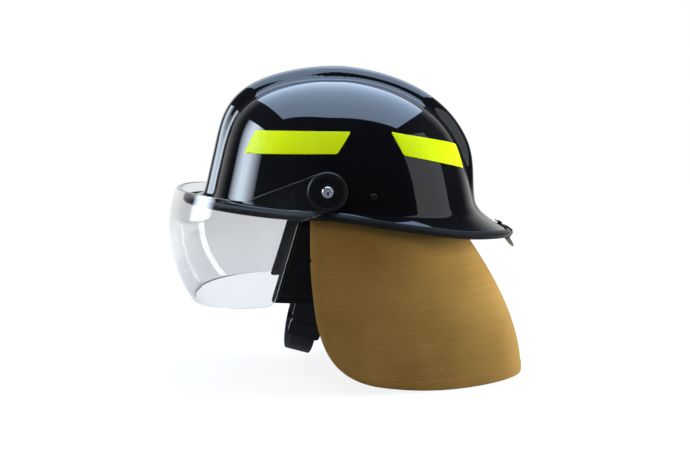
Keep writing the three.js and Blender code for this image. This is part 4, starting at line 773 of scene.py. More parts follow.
def cell_material(name, cell_size, dark, light, roughness, depth):
    material, tree, sockets = start_material(name, roughness=roughness, specular_ior_level=0.35)
    raised = from_range(tree, cell_edges(tree, MM_IN_METRE / cell_size), 0.0, 0.3)
    tint = use_group(tree, grain, grain_size=8.0)["Height"]
    worn = use_group(tree, edge_wear, amount=0.6, patch_size=6.0)["Mask"]
    body = mix_colours(tree, raised, colour(*dark), colour(*light))
    shade = mix_colours(tree, maths(tree, "MULTIPLY", tint, 0.4), body, colour(*dark))
    shade = mix_colours(tree, worn, shade, colour(*[c * 3 for c in light]))
    link(tree, sockets, base_color=shade, normal=bump(tree, raised, depth))
    return material


leather_tones = (0.006, 0.005, 0.005), (0.022, 0.019, 0.018)
foam_tones = (0.012, 0.012, 0.014), (0.04, 0.04, 0.045)
pad_leather = cell_material("Black leather", 1.6, *leather_tones, 0.5, 0.12)
foam_grey = cell_material("Bead foam", 3.0, *foam_tones, 0.9, 0.25)
print("materials:", pad_leather.name, "and", foam_grey.name)

# %% [markdown]
# ## Steel
# The pivot screws are polished stainless steel. The hanging ring and its clip are duller, with
# fine rubbing marks. Metal takes its look from what it reflects, so only roughness and tint vary.

# %% Steel materials
MARKS_STRETCH = (900.0, 120.0, 900.0)


def steel_material(name, dark, light, low, high):
    material, tree, sockets = start_material(name, metallic=1.0)
    stretched = add_node(tree, "ShaderNodeMapping", {"Vector": object_place(tree), "Scale": MARKS_STRETCH})
    marks = noise(tree, stretched.outputs[0], 1.0, 5.0)
    tint = mix_colours(tree, marks, colour(*dark), colour(*light))
    rough = in_range(tree, marks, low, high)
    link(tree, sockets, base_color=tint, roughness=rough, normal=bump(tree, marks, 0.004))
    return material


screw_steel = steel_material("Polished screw", (0.62, 0.62, 0.63), (0.86, 0.86, 0.87), 0.12, 0.26)
ring_steel = steel_material("Ring steel", (0.22, 0.21, 0.15), (0.40, 0.38, 0.29), 0.25, 0.5)
print("materials:", screw_steel.name, "and", ring_steel.name)

# %% [markdown]
# ## Clear face shield
# The shield is clear polycarbonate. Light bends through its thickness, so its cut edges look
# bright and dark in turn, and the rounded rim is also tinted darker: painted shade that draws dark lines along the
# edges. Real clear plastic lets lamp light through, but a path tracer treats glass as solid for shadows, so for
# shadow rays alone the material turns to a thin grey film.

# %% Shield material
shield_clear, tree, sockets = start_material("Clear polycarbonate", transmission_weight=1.0, ior=1.54)
smears = noise(tree, object_place(tree), 16.0, 5.0)
haze = mix_colours(tree, smears, colour(0.785, 0.79, 0.793), colour(0.81, 0.815, 0.818))
# The darker tint on the rim is painted shade along the cut edges.
tint = mix_colours(tree, stored(tree, "rim", "Fac"), haze, colour(0.5, 0.52, 0.52))
link(tree, sockets, base_color=tint, roughness=in_range(tree, smears, 0.0, 0.012))
film = add_node(tree, "ShaderNodeBsdfTransparent", {"Color": colour(0.8, 0.8, 0.8)})
shadow = add_node(tree, "ShaderNodeLightPath").outputs["Is Shadow Ray"]
solid = tree.nodes["Principled BSDF"].outputs[0]
either = add_node(tree, "ShaderNodeMixShader", {0: shadow, 1: solid, 2: film.outputs[0]})
tree.links.new(either.outputs[0], tree.nodes["Material Output"].inputs["Surface"])
print("material:", shield_clear.name)

# %% [markdown]
# ## Record slots and finishes
# The record names a material slot for each node. Each piece here is given its finish where it is made,
# and takes its body from its nodes' names.

# %% [markdown]
# ## The crown's surface
# The crown is a dome about an upright axis. Its plan is an oval with its own reach to the front and
# the rear, and each wall leans and rounds over by its own amounts. Every piece that lies on the
# crown is placed with these functions, so that nothing floats or sinks. LEAN, SQUARE and ROUND each
# hold a value for the front, the sides and the rear.

# %% Crown surface
AXIS_Y, BASE_Z, DOME_HEIGHT = -9.0, -13.0, 139.0
HALF_WIDTH, FRONT_REACH, REAR_REACH, PLAN_POWER = 112.0, 135.5, 152.0, 2.15
LEAN = (0.238, 0.1, 0.195)
SQUARE = (7.5, 3.4, 4.05)
ROUND = (1.74, 1.9, 1.7)
SHELL_WALL, SEAT = 3.0, 0.35


def oval_radius(azimuth, half_width, front, rear):
    reach = front if math.cos(azimuth) > 0 else rear
    across, along = abs(math.sin(azimuth)) / half_width, abs(math.cos(azimuth)) / reach
    return (across**PLAN_POWER + along**PLAN_POWER) ** (-1 / PLAN_POWER)


def dome_at(azimuth, share, inset):
    """Radius and height at a share of the dome's height, inset from its outside."""
    front, rear = max(0, math.cos(azimuth)) ** 2, max(0, -math.cos(azimuth)) ** 2
    blend = lambda triple: front * triple[0] + (1 - front - rear) * triple[1] + rear * triple[2]
    plan = oval_radius(azimuth, HALF_WIDTH, FRONT_REACH, REAR_REACH) - inset
    shoulder = np.maximum(0, 1 - share ** blend(SQUARE)) ** (1 / blend(ROUND))
    return plan * (1 - blend(LEAN) * share) * shoulder, BASE_Z + (DOME_HEIGHT - inset) * share


def wall_radius(azimuth, z, inset):
    return float(dome_at(azimuth, (z - BASE_Z) / (DOME_HEIGHT - inset), inset)[0])


print("crown radius at the nape:", round(wall_radius(math.pi, BASE_Z, 0), 1), "mm")

# %% [markdown]
# ## Places on the crown
# A piece is placed by the direction round the crown and the height, or by its place in the side
# view. Lines up the wall are spaced evenly along their length, so that the faces stay even.

# %% Places on the crown


def on_axis(azimuth, radius, z):
    return math.sin(azimuth) * radius, AXIS_Y - math.cos(azimuth) * radius, z


def rise(azimuth, from_z, count, inset):
    """Evenly spaced [radius, z] up one wall, from a height to just short of the pole."""
    start = (from_z - BASE_Z) / (DOME_HEIGHT - inset)
    share = lerp(start, 1, 1 - (1 - np.linspace(0, 1, 400)) ** 2.2)
    r, z = dome_at(azimuth, share, inset)
    along = np.concatenate([[0], np.cumsum(np.hypot(np.diff(r), np.diff(z)))])
    want = np.linspace(0, along[-1], count + 1)[:-1]
    return np.stack([np.interp(want, along, r), np.interp(want, along, z)], 1)


def side_x(y, z, outset):
    """Where the crown's left wall lies at a place of the side view."""
    low, high = 0.0, math.pi
    for _ in range(30):
        azimuth = (low + high) / 2
        there = AXIS_Y - math.cos(azimuth) * wall_radius(azimuth, z, -outset)
        low, high = (azimuth, high) if there < y else (low, azimuth)
    return math.sin(low) * wall_radius(low, z, -outset)


print("crown half width at its foot:", round(side_x(0, BASE_Z, 0), 1), "mm")

# %% [markdown]
# ## Ridge and brim
# A raised ridge runs over the crown from brow to nape. It stiffens the shell. The brim leaves the
# crown's foot at a crease and slopes out and down to an edge, further at the rear than elsewhere,
# so that water and embers run off behind the neck.

# %% Ridge and brim
RIDGE_TOP, RIDGE_FOOT, RIDGE_HEIGHT = 17.5, 33.0, 10.5
RIDGE_BROW, RIDGE_NAPE, FLANK_POWER = 7.5, 1.5, 1.4
BRIM_REACH = (4.5, 24.5, 39.0)
CREASE_NAPE_Z, CREASE_BROW_RISE, CREASE_POWER = -13.0, 14.0, 3.2
EDGE_Z, EDGE_SLOPE = -21.6, -0.1124
TRIM_GRIP, TRIM_NOSE, TRIM_HALF = 4.6, 3.0, 3.4


def with_ridge(azimuth, line):
    """Pushes one upright plane's line outwards where the ridge crosses it."""
    d = np.gradient(line, axis=0)
    d /= np.linalg.norm(d, axis=1)[:, None]
    x = np.abs(math.sin(azimuth) * line[:, 0])
    flank = np.clip((x - RIDGE_TOP) / (RIDGE_FOOT - RIDGE_TOP), 0, 1) ** FLANK_POWER
    low, from_z, to_z = (RIDGE_BROW, 40, 115) if math.cos(azimuth) > 0 else (RIDGE_NAPE, BASE_Z, 55)
    up = np.clip((line[:, 1] - from_z) / (to_z - from_z), 0, 1)
    height = (1 - eased(flank)) * lerp(low, RIDGE_HEIGHT, eased(up))
    return line + height[:, None] * np.stack([d[:, 1], -d[:, 0]], 1)


def edge_z(y):
    """Height of the brim's edge. It slopes down to the rear, and lifts a little at the temples."""
    lift = 4 * math.exp(-(((y + 12) / 40) ** 2))
    drop = 2.4 * math.exp(-(((y - 122) / 42) ** 2))
    return EDGE_Z + EDGE_SLOPE * y + lift - drop


def brim_at(azimuth):
    """The brim in one upright plane: crease, edge, and the directions along it and up from it."""
    foot = oval_radius(azimuth, HALF_WIDTH, FRONT_REACH, REAR_REACH)
    y = AXIS_Y - foot * math.cos(azimuth)
    share = max(0, (AXIS_Y + REAR_REACH - y) / (FRONT_REACH + REAR_REACH))
    crease_z = CREASE_NAPE_Z + CREASE_BROW_RISE * share**CREASE_POWER
    side, front, rear = BRIM_REACH
    reach = oval_radius(azimuth, HALF_WIDTH + side, FRONT_REACH + front, REAR_REACH + rear)
    edge = np.array([reach, edge_z(AXIS_Y - reach * math.cos(azimuth))])
    crease = np.array([wall_radius(azimuth, crease_z, 0), crease_z])
    out = (edge - crease) / np.linalg.norm(edge - crease)
    return crease_z, edge, out, np.array([-out[1], out[0]])


def azimuths(count):
    """Directions round the crown, closer together where it curves more."""
    return [u - 0.22 * math.sin(2 * u) for u in full_turn(count)]


rear_reach = brim_at(math.pi)[1][0] - wall_radius(math.pi, BASE_Z, 0)
print("rear brim reaches", round(rear_reach, 1), "mm beyond the wall")

# %% [markdown]
# ## The shell
# The real shell is pressed in a mould from glass fibre and resin, then painted. Here it is one
# closed loft. In each upright plane a line runs down the outside, round the crease, out along the
# brim and back up the inside, and the planes are joined all the way round. The crease has a small
# radius, as a mould needs.

# %% Shell lines
BRIM_SAG, SAG_PER_LENGTH, SAG_PEAK = 1.9, 0.075, 0.385


def bend(a, corner, b, count):
    return [(1 - t) ** 2 * a + 2 * t * (1 - t) * corner + t * t * b for t in span(count)]


def brim_line(start, end, up, count):
    """From crease to grip, sagging a little, so that the brim flares like a bell."""
    sag = min(BRIM_SAG, SAG_PER_LENGTH * np.linalg.norm(end - start))
    return [lerp(start, end, t) - up * sag * t**0.5 * (1 - t) / SAG_PEAK for t in span(count, 0.22)]


def shell_line(azimuth, up_count):
    crease_z, edge, out, up = brim_at(azimuth)
    grip = edge - out * TRIM_GRIP
    outer = with_ridge(azimuth, rise(azimuth, crease_z, up_count, 0))[::-1]
    inner = with_ridge(azimuth, rise(azimuth, crease_z, up_count - 20, SHELL_WALL))
    top = brim_line(outer[-1], grip, up, 10)
    under = brim_line(inner[0], grip - up * SHELL_WALL, up, 10)[::-1]
    line = [*outer[:-3], *bend(outer[-3], outer[-1], top[0], 6), *top[1:], edge, edge - up * SHELL_WALL]
    return np.array([*line, *under[:-1], *bend(under[-1], inner[0], inner[2], 6), *inner[3:]])


print("a line over the rear has", len(shell_line(math.pi, 90)), "points")

# %% [markdown]
# ## A calm top
# Where all the planes meet at the pole, tiny differences between them would show as a star in the
# gloss. Each line's end there is eased into one shared shallow bowl, outside and inside.

# %% Outer shell
CALM_REACH, CALM_CORE, CALM_POINTS = 17.0, 0.55, 24


def height_at(top, radius):
    return np.interp(radius, top[:, 0], top[:, 1])


def calm_top(lines):
    """Replaces each line's ends at the pole, and gives the two pole points."""
    reach, poles = CALM_REACH, []
    for end in (slice(None), slice(None, None, -1)):
        tops = [line[end][:CALM_POINTS] for line in lines]
        height = np.mean([height_at(top, reach) for top in tops])
        slope = np.mean([height_at(top, reach + 1) - height_at(top, reach - 1) for top in tops])
        for top in tops:
            near = eased(1 - np.clip((top[:, 0] - CALM_CORE * reach) / ((1 - CALM_CORE) * reach), 0, 1))
            bowl = height + slope / 4 / reach * (top[:, 0] ** 2 - reach**2)
            top[:, 1] += near * (bowl - top[:, 1])
        poles.append((0, AXIS_Y, height - slope / 4 * reach))
    return poles


AROUND = azimuths(288)
lines = [shell_line(a, 90) for a in AROUND]
poles = calm_top(lines)
sides = [[on_axis(a, *p) for p in line] for a, line in zip(AROUND, lines)]
rings = [[side[i] for side in sides] for i in range(len(sides[0]))]
shell = loft("shell", rings, shell_black, poles=poles)
stands_for(shell, "outer_shell")
print("shell:", len(shell.data.polygons), "faces")

# %% [markdown]
# ## Edge trim
# A rubber channel is pushed over the brim's edge so that a knock doesn't chip it. It is one section
# carried round the edge, with a rounded nose.

# %% Edge trim


def soft_loop(points, radius, steps=4):
    """A closed line with rounded corners."""
    line = [np.array(p, float) for p in points]
    out = []
    for i, here in enumerate(line):
        back, on = line[i - 1] - here, line[(i + 1) % len(line)] - here
        reach = min(radius, 0.45 * np.linalg.norm(back), 0.45 * np.linalg.norm(on))
        start = here + back / np.linalg.norm(back) * reach
        out += bend(start, here, here + on / np.linalg.norm(on) * reach, steps)
    return out


channel = SHELL_WALL / 2 + SEAT
section = [(-TRIM_GRIP, channel), (SEAT, channel), (SEAT, -channel), (-TRIM_GRIP, -channel)]
section += [(-TRIM_GRIP, -TRIM_HALF), (1.05, -TRIM_HALF), (2.55, -2.04), (TRIM_NOSE, 0), (2.55, 2.04)]
section += [(1.05, TRIM_HALF), (-TRIM_GRIP, TRIM_HALF)]
section = soft_loop(section, 0.9)
rings = []
for azimuth in AROUND:
    _, edge, out, up = brim_at(azimuth)
    middle = edge - up * SHELL_WALL / 2
    rings.append([on_axis(azimuth, *(middle + out * a + up * b)) for a, b in section])
stands_for(loft("trim", rings, trim_rubber, wrap=True), "edge_trim")
print("trim section has", len(section), "points")

# %% [markdown]
# ## Reflectors
# Four thin patches of lime film are stuck to the sides. Each is a four-cornered outline, given as
# degrees round the crown and heights, with rounded corners, laid on the crown's surface.

# %% Reflectors
FILM_THICK, PER_RADIAN = 0.4, 120.0
FRONT_FILM = [(41.3, 69.5), (97.1, 68.5), (88.9, 46.5), (36.6, 46.0)]
REAR_FILM = [(120.7, 68.0), (163.1, 54.0), (162.7, 28.5), (124.8, 44.5)]


def place_film(u, v, depth):
    azimuth = u / PER_RADIAN
    return on_axis(azimuth, wall_radius(azimuth, v, depth - FILM_THICK - SEAT), v)


for name, corners in (("reflector_front", FRONT_FILM), ("reflector_rear", REAR_FILM)):
    for side, sign in (("left", 1), ("right", -1)):
        flat = [(math.radians(deg) * PER_RADIAN * sign, z) for deg, z in corners]
        loop = even_loop(soft_loop(flat, 2.5, 6), 2.0)
        film = cut_sheet(f"{name}_{side}_film", loop, place_film, FILM_THICK, lime_reflector_painted_glow, 3.0, 0.12)
        stands_for(film, f"{name}_{side}")
print("four reflector patches")

# %% [markdown]
# ## Impact liner
# A shell of bead foam inside the crown takes up a blow. Its lower rim is rounded, as foam comes
# from its mould.

# %% Impact liner
LINER_OUT, LINER_IN, LINER_RIM_Z = 4.0, 17.0, 34.0
rings = []
for azimuth in AROUND[::2]:
    outer = rise(azimuth, LINER_RIM_Z, 44, LINER_OUT)
    inner = rise(azimuth, LINER_RIM_Z, 40, LINER_IN)
    near, far = lerp(outer[0], inner[0], 0.3), lerp(outer[0], inner[0], 0.7)
    line = [*outer[:0:-1], *bend(outer[1], outer[0], near, 6)[1:]]
    line += [*bend(far, inner[0], inner[1], 6), *inner[2:]]
    rings.append([on_axis(azimuth, *p) for p in line])
rings = [[side[i] for side in rings] for i in range(len(rings[0]))]
poles = [(0, AXIS_Y, BASE_Z + DOME_HEIGHT - LINER_OUT), (0, AXIS_Y, BASE_Z + DOME_HEIGHT - LINER_IN)]
stands_for(loft("liner", rings, foam_grey, poles=poles), "impact_liner")
print("liner is", LINER_IN - LINER_OUT, "mm thick")

# %% [markdown]
# ## Straps
# Woven tape is carried along a path as a flat section with rounded edges. The helper needs the path
# and the direction across the tape, and stores how far along and across each point is, so that the
# weave follows the tape round its bends.

# %% Strap helper


def strap(name, path, across, width, thick, material):
    path = [Vector(p) for p in path]
    across = Vector(across).normalized()
    half_w, half_t = width / 2, thick / 2
    box = [(-half_w, -half_t), (half_w, -half_t), (half_w, half_t), (-half_w, half_t)]
    section = soft_loop(box, half_t * 0.9, 3)
    rings, thread, along = [], [], 0.0
    for i, here in enumerate(path):
        tangent = (path[min(i + 1, len(path) - 1)] - path[max(i - 1, 0)]).normalized()
        normal = tangent.cross(across)
        along += (here - path[i - 1]).length if i else 0
        rings.append([tuple(here + across * w + normal * t) for w, t in section])
        thread.append([(along, w) for w, t in section])
    piece = loft(name, rings, material, thread=thread)
    return even_normals(piece)


def smooth_path(points, rounds=3):
    """Cuts a path's corners, and keeps its ends."""
    line = [np.array(p, float) for p in points]
    for _ in range(rounds):
        cut = [line[0]]
        for a, b in zip(line, line[1:]):
            cut += [0.75 * a + 0.25 * b, 0.25 * a + 0.75 * b]
        line = [*cut, line[-1]]
    return line


print("a path of 3 points is smoothed to", len(smooth_path([(0, 0), (1, 0), (1, 1)])))

# %% [markdown]
# ## Crown straps
# Three tapes cross over the head and hang it inside the liner. Each end stands in the slot of a
# key. They cross at the top one above the other.

# %% Crown straps
KEY_LOW_Z, KEY_TOP_Z, KEY_SLOT_IN, ARCH_POWER = 18.0, 32.0, 23.8, 0.9
STRAP_WIDTH, STRAP_THICK, STRAP_STEP, STRAP_TOP_Z = 18.0, 1.3, 2.1, 91.0


def key_back(azimuth):
    return wall_radius(azimuth, KEY_LOW_Z, SHELL_WALL + SEAT)


for order, degrees in enumerate((0, 60, 120)):
    azimuth = math.radians(degrees)
    reach = [key_back(a) - KEY_SLOT_IN - 1.0 for a in (azimuth, azimuth + math.pi)]
    top = STRAP_TOP_Z + order * STRAP_STEP
    line = []
    for t in span(81, 0, math.pi):
        out = math.copysign(abs(math.cos(t)) ** ARCH_POWER, math.cos(t))
        r = out * (reach[0] if out > 0 else reach[1])
        line.append((r, lerp(KEY_TOP_Z - 3, top, abs(math.sin(t)) ** ARCH_POWER)))
    line = [(reach[0], KEY_LOW_Z + 4), *line, (-reach[1], KEY_LOW_Z + 4)]
    across = (math.cos(azimuth), math.sin(azimuth), 0)
    path = [on_axis(azimuth, r, z) for r, z in line]
    tape = strap(f"crown_tape_{order + 1}", path, across, STRAP_WIDTH, STRAP_THICK, webbing_black)
    stands_for(tape, f"crown_strap_{order + 1}")
print("three crown straps, crossing at", STRAP_TOP_Z, "mm")

# %% [markdown]
# ## Moulded pieces inside
# Keys, headband, nape straps and ratchet plates are injection moulded. Their CAD solids are already
# the true shapes, so each becomes a copy with rounded edges.

# %% Moulded pieces
moulded = [finer(f"suspension_key_{i}", nylon_black, 0.5) for i in range(1, 7)]
moulded.append(finer("headband", nylon_black, 0.35))
for node in ("nape_strap_left", "nape_strap_right", "ratchet_cover", "ratchet_plate"):
    moulded.append(finer(node, nylon_black, 0.5))
moulded.append(finer("ratchet_pinion", nylon_black, 0.25, edge_deg=40))
print("bevelled copies:", len(moulded))

# %% [markdown]
# ## Ratchet knob
# The wearer turns this knob behind the head to tighten the band. Twelve soft lobes give it grip.
# Its section is turned about the axis, and the radius swells and dips with the lobes.

# %% Ratchet knob
KNOB_RADIUS, KNOB_DEPTH, KNOB_LOBES, LOBE_DEPTH = 17.5, 11.0, 12, 0.9
KNOB_BORE, BORE_DEPTH, KNOB_FACE = 2.75, 8.4, KNOB_DEPTH - 0.9
knob_low, knob_high = box_mm("ratchet_knob")
knob_y, knob_z = knob_low.y, (knob_low.z + knob_high.z) / 2
profile = [(KNOB_BORE, BORE_DEPTH), (KNOB_BORE, 0), (KNOB_RADIUS, 0), (KNOB_RADIUS, KNOB_DEPTH - 1.4)]
profile += [(KNOB_RADIUS - 2.4, KNOB_DEPTH), (KNOB_RADIUS - 6, KNOB_FACE), (0, KNOB_FACE)]
rings = []
for r, h in soften(profile, 1.0, 4)[:-1]:
    ring = []
    for angle in full_turn(192):
        dip = LOBE_DEPTH * (1 - math.cos(angle * KNOB_LOBES)) / 2 * smoothstep(r, 8, 16)
        x, z = polar(r - dip, angle)
        ring.append((x, knob_y + h, knob_z + z))
    rings.append(ring)
poles = [(0, knob_y + BORE_DEPTH, knob_z), (0, knob_y + KNOB_FACE, knob_z)]
stands_for(even_normals(loft("knob", rings, nylon_black, poles=poles)), "ratchet_knob")
print("knob of", KNOB_LOBES, "lobes")

# %% [markdown]
# ## Pads
# The brow pad, nape pad and crown pad are leather over foam. Each starts as its own solid, which is
# remeshed into small even faces, since cloth can bend only where it has points.

# %% Remesh helpers


def remeshed(node, voxel):
    mesh = frame["nodes"][node].data.copy()
    mesh.materials.clear()
    piece = bpy.data.objects.new(node + "_soft", mesh)
    bpy.context.collection.objects.link(piece)
    modifier = piece.modifiers.new("Remesh", "REMESH")
    modifier.mode = "VOXEL"
    modifier.voxel_size = voxel * MM
    graph = bpy.context.evaluated_depsgraph_get()
    made = bpy.data.meshes.new_from_object(piece.evaluated_get(graph))
    piece.modifiers.clear()
    piece.data = made
    bpy.data.meshes.remove(mesh)
    return piece


def points_of(mesh):
    co = np.zeros(len(mesh.vertices) * 3)
    mesh.vertices.foreach_get("co", co)
    return co.reshape(-1, 3)


print("a remeshed pad replaces", frame["nodes"]["crown_pad"].name)

# %% [markdown]
# ## Swelling a pad
# A short cloth simulation with pressure inside puffs the pad up. The swelling is capped, so that a
# pad stays clear of its neighbours, and the sewn channels are pressed in afterwards.

# %% Swell a pad
PAD_FRAMES, PAD_PRESSURE = 20, 4.0


def puffed(node, voxel, cap, channel):
    """A pad of leather over foam. channel(points) gives how deep each point is pressed in, in mm."""
    piece = remeshed(node, voxel)
    start = points_of(piece.data)
    end = start.copy()
    cloth = piece.modifiers.new("Cloth", "CLOTH")
    cloth.settings.use_pressure = True
    cloth.settings.uniform_pressure_force = PAD_PRESSURE
    cloth.settings.effector_weights.gravity = 0.0
    cloth.settings.quality = 4
    for number in range(1, PAD_FRAMES + 1):
        bpy.context.scene.frame_set(number)
    graph = bpy.context.evaluated_depsgraph_get()
    moved = piece.evaluated_get(graph).to_mesh()
    end = points_of(moved)
    piece.evaluated_get(graph).to_mesh_clear()
    piece.modifiers.clear()
    bpy.context.scene.frame_set(1)
    end -= (end - start).mean(0)
    move = end - start
    size = np.linalg.norm(move, axis=1)[:, None]
    move *= np.minimum(1, cap * MM / np.maximum(size, 1e-9))
    made = start + move
    normals = np.zeros(len(start) * 3)
    piece.data.vertices.foreach_get("normal", normals)
    made -= normals.reshape(-1, 3) * channel(made / MM)[:, None] * MM
    piece.data.vertices.foreach_set("co", made.ravel())
    piece.data.update()
    piece.data.polygons.foreach_set("use_smooth", [True] * len(piece.data.polygons))
    piece.data.materials.clear()
    piece.data.materials.append(pad_leather)
    piece.modifiers.new("Smooth", "SUBSURF").render_levels = 1
    print(node, "moved at most", round(float(size.max()) / MM, 2), "mm, capped at", cap)
    return stands_for(piece, node)


print("pads swell over", PAD_FRAMES, "frames")

# %% [markdown]
# ## The three pads
# Channels are grooves where the leather is sewn down through the foam. On the brow pad they run up
# and down every few centimetres. On the round crown pad they make a ring and six spokes.

# %% Pads
BAND_HALF_WIDTH, BAND_HALF_LENGTH, BROW_PITCH_DEG = 82, 104, 17
CROWN_RING, CROWN_CHANNEL = 26, (1.6, 0.8)
NAPE_MIDDLE_Z, NAPE_CHANNEL_OFF = -20, 7


def groove(distance, width, depth):
    return depth * np.exp(-((distance / width) ** 2))


def brow_channels(p):
    angle = np.degrees(np.arctan2(p[:, 0] / BAND_HALF_WIDTH, -p[:, 1] / BAND_HALF_LENGTH))
    off = np.abs((angle / BROW_PITCH_DEG + 0.5) % 1 - 0.5) * BROW_PITCH_DEG
    return groove(off, 1.0, 0.5)


def crown_channels(p):
    r = np.hypot(p[:, 0], p[:, 1] - AXIS_Y)
    angle = np.arctan2(p[:, 1] - AXIS_Y, p[:, 0])
    spoke = np.abs((angle / (math.pi / 3)) % 1 - 0.5) * math.pi / 3 * r
    return np.maximum(groove(r - CROWN_RING, *CROWN_CHANNEL), groove(spoke, *CROWN_CHANNEL) * (r > 4))


def nape_channels(p):
    return groove(np.abs(p[:, 2] - NAPE_MIDDLE_Z) - NAPE_CHANNEL_OFF, 1.3, 0.5)


puffed("brow_pad", voxel=1.8, cap=0.35, channel=brow_channels)
puffed("nape_pad", voxel=2.0, cap=0.35, channel=nape_channels)
puffed("crown_pad", voxel=2.4, cap=0.5, channel=crown_channels)
print("the crown pad's sewn ring has a radius of", CROWN_RING, "mm")

# %% [markdown]
# ## Face shield surface
# The shield is one sheet of clear plastic, bent round the face in a deep U. Its sides are flat as
# far as the temples, and its front bulges. Half of it is followed from an ear, share 0, to the
# middle, share 1.

# %% Shield surface
SHIELD_THICK, SHIELD_STRAIGHT, SHIELD_POWER = 3.5, 0.34, 2.2
EAR_OUTER_X, EAR_RADIUS = 126.9, 19.4
PIVOT = PIVOT_Y, PIVOT_Z = -22.0, 10.6
SIDE_END_Y, SHIELD_FRONT_Y, BULGE_Z, BULGE_RADIUS = -85.0, -187.0, -38.0, 118.0
TOP_FRONT_Z, LOW_FRONT_Z, MEASURE_Z, UNROLL_POINTS = 8.5, -108.6, -40, 600


def shield_front_y(z):
    z = min(z, TOP_FRONT_Z + 4)
    return SHIELD_FRONT_Y + BULGE_RADIUS - math.sqrt(BULGE_RADIUS**2 - (z - BULGE_Z) ** 2)


def shield_at(share, z, depth):
    half = EAR_OUTER_X - depth
    if share <= SHIELD_STRAIGHT:
        return half, lerp(PIVOT_Y + EAR_RADIUS + 3, SIDE_END_Y, share / SHIELD_STRAIGHT), z
    t = (share - SHIELD_STRAIGHT) / (1 - SHIELD_STRAIGHT) * math.pi / 2
    across = max(0, math.cos(t)) ** (2 / SHIELD_POWER) if share < 1 else 0
    front = shield_front_y(z) + depth
    return half * across, lerp(SIDE_END_Y, front, math.sin(t) ** (2 / SHIELD_POWER)), z


def unroll(at, z, start, end):
    """Flat distance along a level line of a surface, as a table to read either way."""
    shares = np.linspace(start, end, UNROLL_POINTS)
    points = np.array([at(s, z, 0) for s in shares])
    steps = np.linalg.norm(np.diff(points, axis=0), axis=1)
    return shares, np.concatenate([[0], np.cumsum(steps)])


shield_shares, shield_along = unroll(shield_at, MEASURE_Z, 1.0, 0.0)
print("shield is", round(2 * shield_along[-1]), "mm round from ear to ear")

# %% [markdown]
# ## The shield's outline
# The outline is drawn in side view: an ear about the pivot, straight tangents, and rounded lower
# corners. Half of it is enough, since the other side mirrors it.

# %% Shield outline
TOP_EAR, REAR_TOP, REAR_BOTTOM = (-103, 1.4), (-50.4, -19.5), (-75, -103)
BOTTOM_FRONT, SHIELD_CORNER, PIVOT_HOLE = (-160, -108.5), 9.0, 4.15


def share_of(at, y, z, low, high):
    """The share at which a surface's level line reaches a y; y falls from low to high."""
    for _ in range(40):
        share = (low + high) / 2
        low, high = (share, high) if at(share, z, 0)[1] > y else (low, share)
    return (low + high) / 2


def both_halves(half):
    """A whole outline from the half that starts and ends at the middle."""
    half[0], half[-1] = (0.0, half[0][1]), (0.0, half[-1][1])
    return half + [(-u, v) for u, v in half[-2:0:-1]]


def tangent_angle(point, side):
    dy, dz = point[0] - PIVOT_Y, point[1] - PIVOT_Z
    return math.atan2(dz, dy) + side * math.acos(EAR_RADIUS / math.hypot(dy, dz))


def shield_side_view():
    upper = tangent_angle(TOP_EAR, -1) % (2 * math.pi)
    lower = tangent_angle(REAR_TOP, 1) % (2 * math.pi) - 2 * math.pi
    arc = circle(PIVOT, EAR_RADIUS, span(40, upper, lower))
    corner = np.array(REAR_BOTTOM, float)
    down = (corner - REAR_TOP) / np.linalg.norm(corner - REAR_TOP)
    fore = (BOTTOM_FRONT - corner) / np.linalg.norm(BOTTOM_FRONT - corner)
    turn = bend(corner - down * SHIELD_CORNER, corner, corner + fore * SHIELD_CORNER, 10)
    top, low = [(shield_front_y(z), z) for z in (TOP_FRONT_Z, LOW_FRONT_Z)]
    line = [top, TOP_EAR, *arc, REAR_TOP, *[tuple(p) for p in turn], BOTTOM_FRONT, low]
    return even_loop(line, 2.5, closed=False)


print("the half outline has", len(shield_side_view()), "points")

# %% [markdown]
# ## Cutting the shield
# Each point of the side view is carried onto the surface and then flat, where the sheet is filled
# with triangles and the holes for the pivots are cut. The filled sheet is then laid back on the
# surface, with its full thickness.

# %% Face shield


def flat_of(y, z):
    share = share_of(shield_at, y, z, 0.0, 1.0)
    return float(np.interp(-share, -shield_shares, shield_along)), z


def place_shield(u, v, depth):
    share = float(np.interp(abs(u), shield_along, shield_shares))
    x, y, z = shield_at(share, v, depth)
    return math.copysign(x, u), y, z


loop = both_halves([flat_of(y, z) for y, z in shield_side_view()])
holes = []
for sign in (1, -1):
    holes.append([(sign * flat_of(y, z)[0], z) for y, z in circle(PIVOT, PIVOT_HOLE, full_turn(32))])
visor = cut_sheet("clear_shield", loop, place_shield, SHIELD_THICK, shield_clear, 4.0, 0.45, holes)
stands_for(even_normals(visor), "face_shield")
print("shield:", len(visor.data.polygons), "faces")

# %% [markdown]
# ## Shield pivots
# At each temple a bracket stands on the shell, a friction washer lies on each side of the shield's
# ear, and a ribbed disc and a socket screw clamp the stack. All are turned about the pivot's axis.

# %% Brackets and washers
BRACKET_FACE_X, BRACKET_RADIUS, SLEEVE_RADIUS, BRACKET_START_X = 121.9, 15.0, 3.8, 110
WASHER_RADIUS, WASHER_THICK, DISC_INNER_X, DISC_OUTER_X = 13.5, 0.8, 128.4, 132.6
DISC_RADIUS, HEAD_SEAT_X, SLEEVE_GAP = 19.8, 131.5, 0.35


